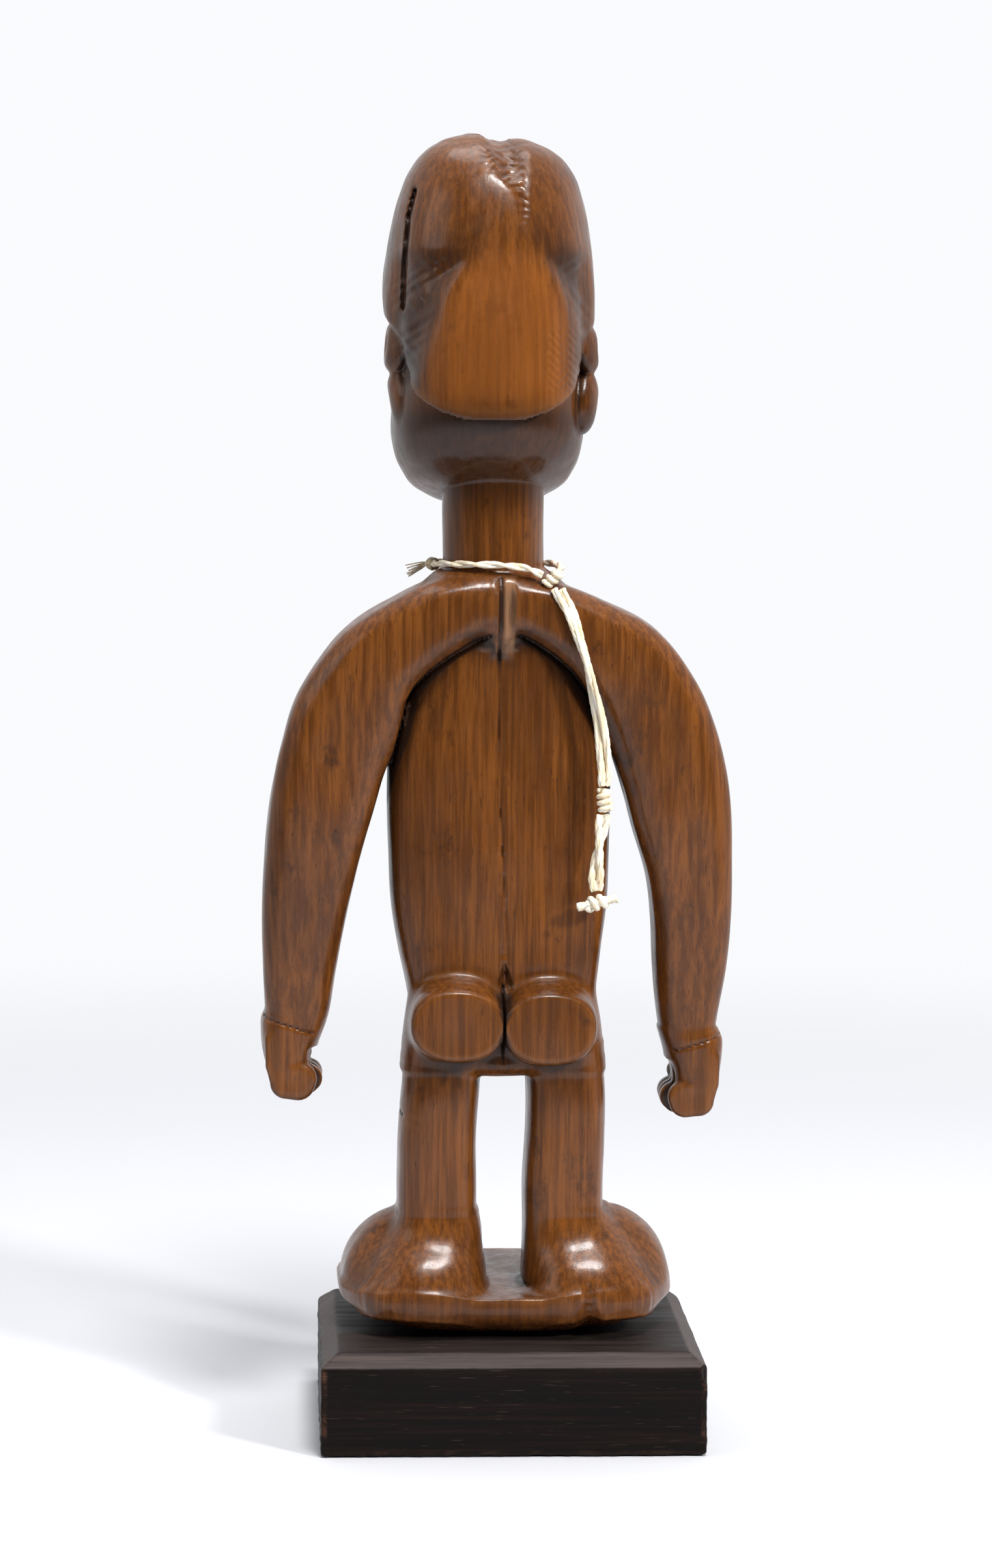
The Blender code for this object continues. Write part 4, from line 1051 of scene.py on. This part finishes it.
def raffia():
    """Pale palm fibre twisted into string."""
    fibre = Finish("raffia_fibre")
    strands = fibre.layer("fibre")
    tint = fibre.noise((500.0, 500.0, 120.0), 3.0)
    base = fibre.mix(fibre.spread(tint, 0.35, 0.68), colour(252, 246, 231), colour(228, 210, 176))
    dirt = fibre.spread(fibre.noise(160.0, 3.0), 0.58, 0.75, 0.0, 0.35)
    base = fibre.mix(dirt, base, colour(196, 170, 126))
    # Painted shade: the grooves between the twisted fibres are darkened.
    base = fibre.mix(fibre.maths("MULTIPLY", strands, 0.3), base, colour(190, 160, 112))
    normal = fibre.bump(fibre.noise((2600.0, 2600.0, 500.0), 3.0), 0.0001, 0.6)
    return fibre.finish(
        Base_Color=base, Roughness=0.62, Normal=normal, Subsurface_Weight=0.12, Subsurface_Scale=0.001
    )


def screw_steel():
    """Dull machined steel with fine turning marks and a little rust."""
    steel = Finish("screw_steel_dull")
    marks = steel.noise((300.0, 300.0, 4000.0), 2.0)
    rust = steel.spread(steel.noise(420.0, 4.0, 0.7), 0.55, 0.72)
    base = steel.mix(steel.maths("MULTIPLY", rust, 0.6), colour(150, 150, 152), colour(112, 70, 44))
    rough = steel.maths("ADD", steel.spread(marks, 0.3, 0.7, 0.26, 0.4), steel.maths("MULTIPLY", rust, 0.3))
    metal = steel.spread(rust, 0.0, 1.0, 1.0, 0.35)
    normal = steel.bump(marks, 0.00006, 0.5)
    return steel.finish(Base_Color=base, Roughness=rough, Metallic=metal, Normal=normal)


# ---------------------------------------------------------------- the pieces


def make_figure():
    field = model_figure()
    points, faces = surface_net(field)
    points = settled(field, points)
    normals = slope_at(field, points)
    layers = shade_and_wear_layers(field, points, normals) | panel_layers(points)
    calm = 1 - layers["hollow"]
    uneven = 0.12 * waves(points, 17.0, 3, 0.45) + 0.02 * waves(points, 6.0, 5, 0.35)
    points = fitted(points + normals * (uneven * calm)[:, None], "figure")
    obj = make_mesh("carved_figure", points, faces, layers)
    obj.data.materials.append(carved_wood())
    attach(obj, "carving")
    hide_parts("figure")
    return obj


def model_plinth(half_x, half_y, height):
    """A block with its upper edges planed to a chamfer, worn and a little chipped."""
    field = Field((-half_x - 3, -half_y - 3, -3), (half_x + 3, half_y + 3, height + 3), VOXEL)
    slope = math.hypot(CHAMFER_RUN, CHAMFER_RISE)

    def distance(x, y, z):
        across, along = np.abs(x) - half_x, np.abs(y) - half_y
        shell = soft_max(soft_max(across, along, 0.9), soft_max(z - height, -z, 0), 0.7)
        for side in (across, along):
            planed = (side * CHAMFER_RISE + (z - height) * CHAMFER_RUN + CHAMFER_RUN * CHAMFER_RISE) / slope
            shell = soft_max(shell, planed, 0.6)
        return shell

    add(field, ((-half_x, -half_y, 0), (half_x, half_y, height), distance), 0)
    carve_all(field, PLINTH_CHIPS)
    for spot in SCREW_SPOTS:
        carve(field, rope([(*spot, 2.0, 2.0), (*spot, height + 3, 2.0)]), 0)
        carve(field, rope([(*spot, -3.0, 4.2), (*spot, 1.3, 4.2), (*spot, 4.2, 2.0)]), 0)
    return field


def make_plinth():
    low, high = (np.array(corner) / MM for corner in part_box("plinth"))
    field = model_plinth(high[0], high[1], high[2])
    points, faces = surface_net(field)
    points = settled(field, points)
    normals = slope_at(field, points)
    layers = shade_and_wear_layers(field, points, normals)
    uneven = 0.05 * waves(points, 22.0, 11) + 0.1 * waves(points, 3.4, 12) * layers["ridge"]
    points = fitted(points + normals * uneven[:, None], "plinth")
    obj = make_mesh("worn_plinth", points, faces, layers)
    obj.data.materials.append(dark_wood())
    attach(obj, "carving")
    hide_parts("plinth")


def resampled(rows, count):
    """The rows of a path made into count evenly spread ones, on a smooth cubic."""
    indexed = [(i, *row) for i, row in enumerate(rows)]
    steps = np.linspace(0, len(rows) - 1, count)
    return np.stack([column(indexed, key, steps) for key in range(1, len(indexed[0]))], 1).astype(float)


def carried_frame(path):
    """Tangents along a path and two normals that turn round it as little as they can."""
    ahead = np.gradient(path, axis=0)
    ahead /= np.linalg.norm(ahead, axis=1)[:, None]
    side = np.cross(ahead[0], (0.31, 0.21, 0.93))
    sides = []
    for tangent in ahead:
        side = side - tangent * (side @ tangent)
        side = side / np.linalg.norm(side)
        sides.append(side)
    sides = np.array(sides)
    return ahead, sides, np.cross(ahead, sides)


def wound(path, radius, turns, phase=0.0):
    """A line that winds round a path at a distance."""
    _, first, second = carried_frame(path)
    angle = math.tau * turns * np.linspace(0, 1, len(path)) + phase
    return path + radius * (np.cos(angle)[:, None] * first + np.sin(angle)[:, None] * second)


class Strands:
    """Lengths of fibre gathered into one mesh, each with a ribbed section that twists along it."""

    def __init__(self):
        self.points, self.faces, self.ribs, self.count = [], [], [], 0

    def lay(self, path, radii, sides=16, ribs=5, depth=0.12, twist=0.35, flat=1.0):
        ahead, first, second = carried_frame(path)
        run = np.concatenate([[0], np.cumsum(np.linalg.norm(np.diff(path, axis=0), axis=1))])
        radii = np.broadcast_to(radii, len(path))
        around = np.arange(sides) * math.tau / sides
        wave = np.cos(ribs * (around[None, :] + twist * run[:, None]))
        reach = radii[:, None] * (1 + depth * (wave - 1))
        turn = around[None, :] + 0 * run[:, None]
        ring = first[:, None] * (np.cos(turn) * reach)[..., None]
        ring = ring + second[:, None] * (np.sin(turn) * reach * flat)[..., None]
        rings = (path[:, None] + ring).reshape(-1, 3)
        ends = np.array([path[0] - ahead[0] * radii[0] * 0.25, path[-1] + ahead[-1] * radii[-1] * 0.25])
        self.points += [rings, ends]
        self.ribs += [(0.5 - 0.5 * wave).ravel(), np.zeros(2)]
        base, last = self.count, self.count + (len(path) - 1) * sides
        here = np.arange(sides)
        after = (here + 1) % sides
        for row in range(len(path) - 1):
            low = base + row * sides
            self.faces += list(zip(low + here, low + after, low + sides + after, low + sides + here))
        tip = base + len(path) * sides
        self.faces += [(base + b, base + a, tip) for a, b in zip(here, after)]
        self.faces += [(last + a, last + b, tip + 1) for a, b in zip(here, after)]
        self.count += len(path) * sides + 2
        return self

    def piece(self, name, body, finish, *nodes):
        """The gathered lengths as a piece that rides on a body in place of its CAD nodes."""
        points = np.concatenate(self.points)
        mesh = bpy.data.meshes.new(name)
        mesh.from_pydata((points * MM).tolist(), [], [tuple(map(int, face)) for face in self.faces])
        mesh.shade_smooth()
        # The fibre layer is 1 in the grooves between the ribs, where the raffia paints shade.
        layer = mesh.attributes.new("fibre", "FLOAT", "POINT")
        layer.data.foreach_set("value", np.concatenate(self.ribs).astype(np.float32))
        mesh.materials.append(finish)
        obj = bpy.data.objects.new(name, mesh)
        bpy.context.scene.collection.objects.link(obj)
        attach(obj, body)
        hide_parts(*nodes)
        return obj


def middle_of(node):
    low, high = (np.array(corner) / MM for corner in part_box(node))
    return (low + high) / 2, (high - low) / 2


def neck_cord(name, rows, node, finish):
    """A length of two-ply twisted string round the neck."""
    path = resampled(rows, 110)
    length = np.linalg.norm(np.diff(path, axis=0), axis=1).sum()
    made = Strands()
    for phase in (0.0, math.pi):
        made.lay(wound(path, 0.46, length / 15.0, phase), 0.68, sides=14, ribs=4, twist=0.4)
    return made.piece(name, "loop", finish, node)


def wrapped_knot(made, centre, sizes, along, turns, radius, seed):
    """A few tight wraps of fibre round an axis, with one crossing over them."""
    along = np.array(along, float) / np.linalg.norm(along)
    half = abs(along) @ sizes - radius
    axis = centre + np.linspace(-1, 1, 60)[:, None] * along * half
    girth = min(sizes) - radius
    swell = girth * (0.72 + 0.28 * np.sqrt(np.maximum(0, 1 - np.linspace(-1, 1, 60) ** 2)))
    _, first, second = carried_frame(axis)
    angle = math.tau * turns * np.linspace(0, 1, 60) + seed
    ring = first * (np.cos(angle) * swell)[:, None] + second * (np.sin(angle) * swell)[:, None]
    made.lay(resampled(axis + ring, 150), radius, sides=14, twist=0.6)
    made.lay(resampled(axis, 12), girth * 0.95, sides=14, ribs=6, twist=0.3)
    across = np.linspace(-1, 1, 30)[:, None]
    over = centre + along * across * half * 0.9 + (first[0] * 0.55 + second[0] * 0.8) * girth * 1.02
    sway = np.cross(along, first[0] * 0.55 + second[0] * 0.8)
    made.lay(over + sway * across * girth * 0.7, radius * 0.9, sides=12, twist=0.6)


def tail_strands(rows, node_a, node_b, name, body, finish):
    """Two loosely twisted strands, each a bundle of flat raffia."""
    path = resampled(rows, 90)
    offset = STRAND_RADIUS + 0.1
    angle = math.pi * STRAND_TURN * np.linspace(0, 1, len(path))
    side = np.stack([np.cos(angle), np.sin(angle), 0 * angle], 1)
    for label, sign, node in (("a", 1, node_a), ("b", -1, node_b)):
        made = Strands()
        centre = path + sign * side * offset
        for number in range(3):
            line = wound(centre, 0.5, len(path) / 60, math.tau * number / 3)
            made.lay(line, 0.74, sides=14, ribs=4, depth=0.14, twist=0.5)
        made.piece(f"{name}_{label}", body, finish, node)


def make_cords():
    finish = raffia()
    neck_cord("neck_string_back", BACK_CORD, "neck_cord_back", finish)
    neck_cord("neck_string_front", FRONT_CORD, "neck_cord_front", finish)
    made = Strands()
    centre, sizes = middle_of("tie_knot")
    wrapped_knot(made, centre, sizes, (0.3, 1, 0.1), 2.2, 0.62, 0.4)
    made.piece("tie_knot_wraps", "loop", finish, "tie_knot")
    made = Strands()
    middle = resampled([(*place, size) for place, size in FRAYED_END], 24)
    for number in range(26):
        spin, out = RANDOM.uniform(0, math.tau), math.sqrt(RANDOM.uniform(0, 1))
        share = np.linspace(0, 1, 24)[:, None]
        lean = np.array([0.0, math.cos(spin), math.sin(spin)]) * out
        bend = RANDOM.normal(size=3) * 0.35
        line = middle[:, :3] + lean * (middle[:, 3:] - 0.25) + bend * share**2
        made.lay(line[: RANDOM.integers(15, 25)], 0.2, sides=7, ribs=2, twist=0.9)
    made.piece("frayed_tuft", "loop", finish, "frayed_end")
    made = Strands()
    centre, sizes = middle_of("neck_knot")
    wrapped_knot(made, centre, sizes * 0.9, (0.75, -0.1, -0.6), 2.6, 0.72, 1.1)
    made.piece("neck_knot_wraps", "knot", finish, "neck_knot")
    tail_strands(UPPER_TAIL, "upper_tail_strand_a", "upper_tail_strand_b", "upper_tail", "tail_upper", finish)
    made = Strands()
    centre, sizes = middle_of("middle_knot")
    wrapped_knot(made, centre, sizes, (0.08, 0, 1), 3.4, 0.82, 2.0)
    made.piece("middle_knot_wraps", "tail_upper", finish, "middle_knot")
    tail_strands(LOWER_TAIL, "lower_tail_strand_a", "lower_tail_strand_b", "lower_tail", "tail_lower", finish)
    made = Strands()
    centre, sizes = middle_of("end_knot")
    sizes = np.array([3.4, 2.5, 2.6])
    wrapped_knot(made, centre + (0.2, 0, 0), sizes, (1, 0, -0.24), 2.4, 0.95, 0.2)
    for sign, lift in ((1, -0.24), (-1, -0.24)):
        reach = np.linspace(1.2, 5.6, 12)[:, None]
        butt = centre + np.array([sign, 0, sign * lift]) * reach
        made.lay(butt, 1.15 + 0.35 * np.linspace(0, 1, 12) ** 2, sides=18, ribs=6, depth=0.2, twist=0.4)
    made.piece("end_knot_wraps", "tail_lower", finish, "end_knot")


def finish_screws():
    steel = screw_steel()
    for side in ("left", "right"):
        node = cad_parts[f"mount_screw_{side}"]
        node.data.materials.clear()
        node.data.materials.append(steel)


# ---------------------------------------------------------------- floor, light and camera


def make_floor():
    bpy.ops.mesh.primitive_grid_add(x_subdivisions=2, y_subdivisions=2, size=16.0, location=(0, 0, 0))
    floor = bpy.context.object
    floor.name = "studio_floor"
    paper = Finish("studio_paper")
    shade = paper.mix(paper.noise(3.0), colour(196, 196, 200), colour(199, 199, 202))
    paper.finish(Base_Color=shade, Roughness=0.9)
    away = paper.node("ShaderNodeVectorMath", {0: paper.place}, operation="LENGTH").outputs["Value"]
    clear = paper.node("ShaderNodeBsdfTransparent").outputs[0]
    fade = paper.spread(away, 0.4, 1.0)
    blend = paper.node("ShaderNodeMixShader", {0: fade, 1: paper.shader.outputs[0], 2: clear})
    paper.join(paper.tree.nodes["Material Output"].inputs[0], blend.outputs[0])
    floor.data.materials.append(paper.material)


def make_world():
    """White all round but dim on the camera's side; the camera itself sees an even pale backdrop."""
    world = bpy.data.worlds.new("studio")
    world.use_nodes = True
    nodes, links = world.node_tree.nodes, world.node_tree.links
    seen, light, mixed = (nodes.new(kind) for kind in ("ShaderNodeBackground",) * 2 + ("ShaderNodeMixShader",))
    seen.inputs[0].default_value = (0.955, 0.96, 0.985, 1.0)
    split, dim = nodes.new("ShaderNodeSeparateXYZ"), nodes.new("ShaderNodeMapRange")
    dim.interpolation_type = "SMOOTHSTEP"
    for index, value in zip((1, 2, 3, 4), (-0.45, 0.75, WORLD_LIGHT, WORLD_DIM)):
        dim.inputs[index].default_value = value
    light.inputs[0].default_value = (0.94, 0.965, 1.0, 1.0)
    links.new(nodes.new("ShaderNodeTexCoord").outputs["Generated"], split.inputs[0])
    links.new(split.outputs[1], dim.inputs[0])
    links.new(dim.outputs[0], light.inputs[1])
    links.new(nodes.new("ShaderNodeLightPath").outputs["Is Camera Ray"], mixed.inputs[0])
    links.new(light.outputs[0], mixed.inputs[1])
    links.new(seen.outputs[0], mixed.inputs[2])
    links.new(mixed.outputs[0], nodes["World Output"].inputs[0])
    bpy.context.scene.world = world


def make_light(name, spot, aim, size, power):
    data = bpy.data.lights.new(name, "AREA")
    data.shape, data.size, data.energy = "DISK", size, power
    obj = bpy.data.objects.new(name, data)
    obj.location = spot
    obj.rotation_euler = (Vector(aim) - Vector(spot)).to_track_quat("-Z", "Y").to_euler()
    bpy.context.scene.collection.objects.link(obj)
    return obj


def make_camera():
    yaw, pitch, roll = (math.radians(angle) for angle in (CAMERA_YAW, CAMERA_PITCH, CAMERA_ROLL))
    ahead = Vector((-math.sin(yaw) * math.cos(pitch), -math.cos(yaw) * math.cos(pitch), -math.sin(pitch)))
    right = ahead.cross(Vector((0, 0, 1))).normalized()
    up = right.cross(ahead)
    across = right * math.cos(roll) + up * math.sin(roll)
    upward = up * math.cos(roll) - right * math.sin(roll)
    data = bpy.data.cameras.new("photograph")
    data.lens, data.sensor_width = CAMERA_LENS, CAMERA_SENSOR
    camera = bpy.data.objects.new("photograph", data)
    camera.matrix_world = Matrix.Translation(Vector(CAMERA_SPOT) * MM) @ Matrix(
        (across, upward, -ahead)
    ).transposed().to_4x4()
    bpy.context.scene.collection.objects.link(camera)
    bpy.context.scene.camera = camera


def make_stage():
    make_floor()
    make_world()
    make_light("overhead", (-0.2, 0.82, 1.7), (0, 0, 0.2), 0.5, 31.0)
    key = make_light("key", (-1.15, 1.2, 1.0), (0, 0, 0.2), 0.22, 30.0)
    key.visible_glossy = False
    make_light("side", (1.3, 0.5, 0.9), (0, 0, 0.2), 0.9, 2.8)
    make_light("top", (0.1, -0.2, 1.6), (0, 0, 0.1), 1.0, 10.0)
    bpy.context.scene.view_settings.view_transform = "Standard"
    make_camera()


make_figure()
make_plinth()
make_cords()
finish_screws()
make_stage()
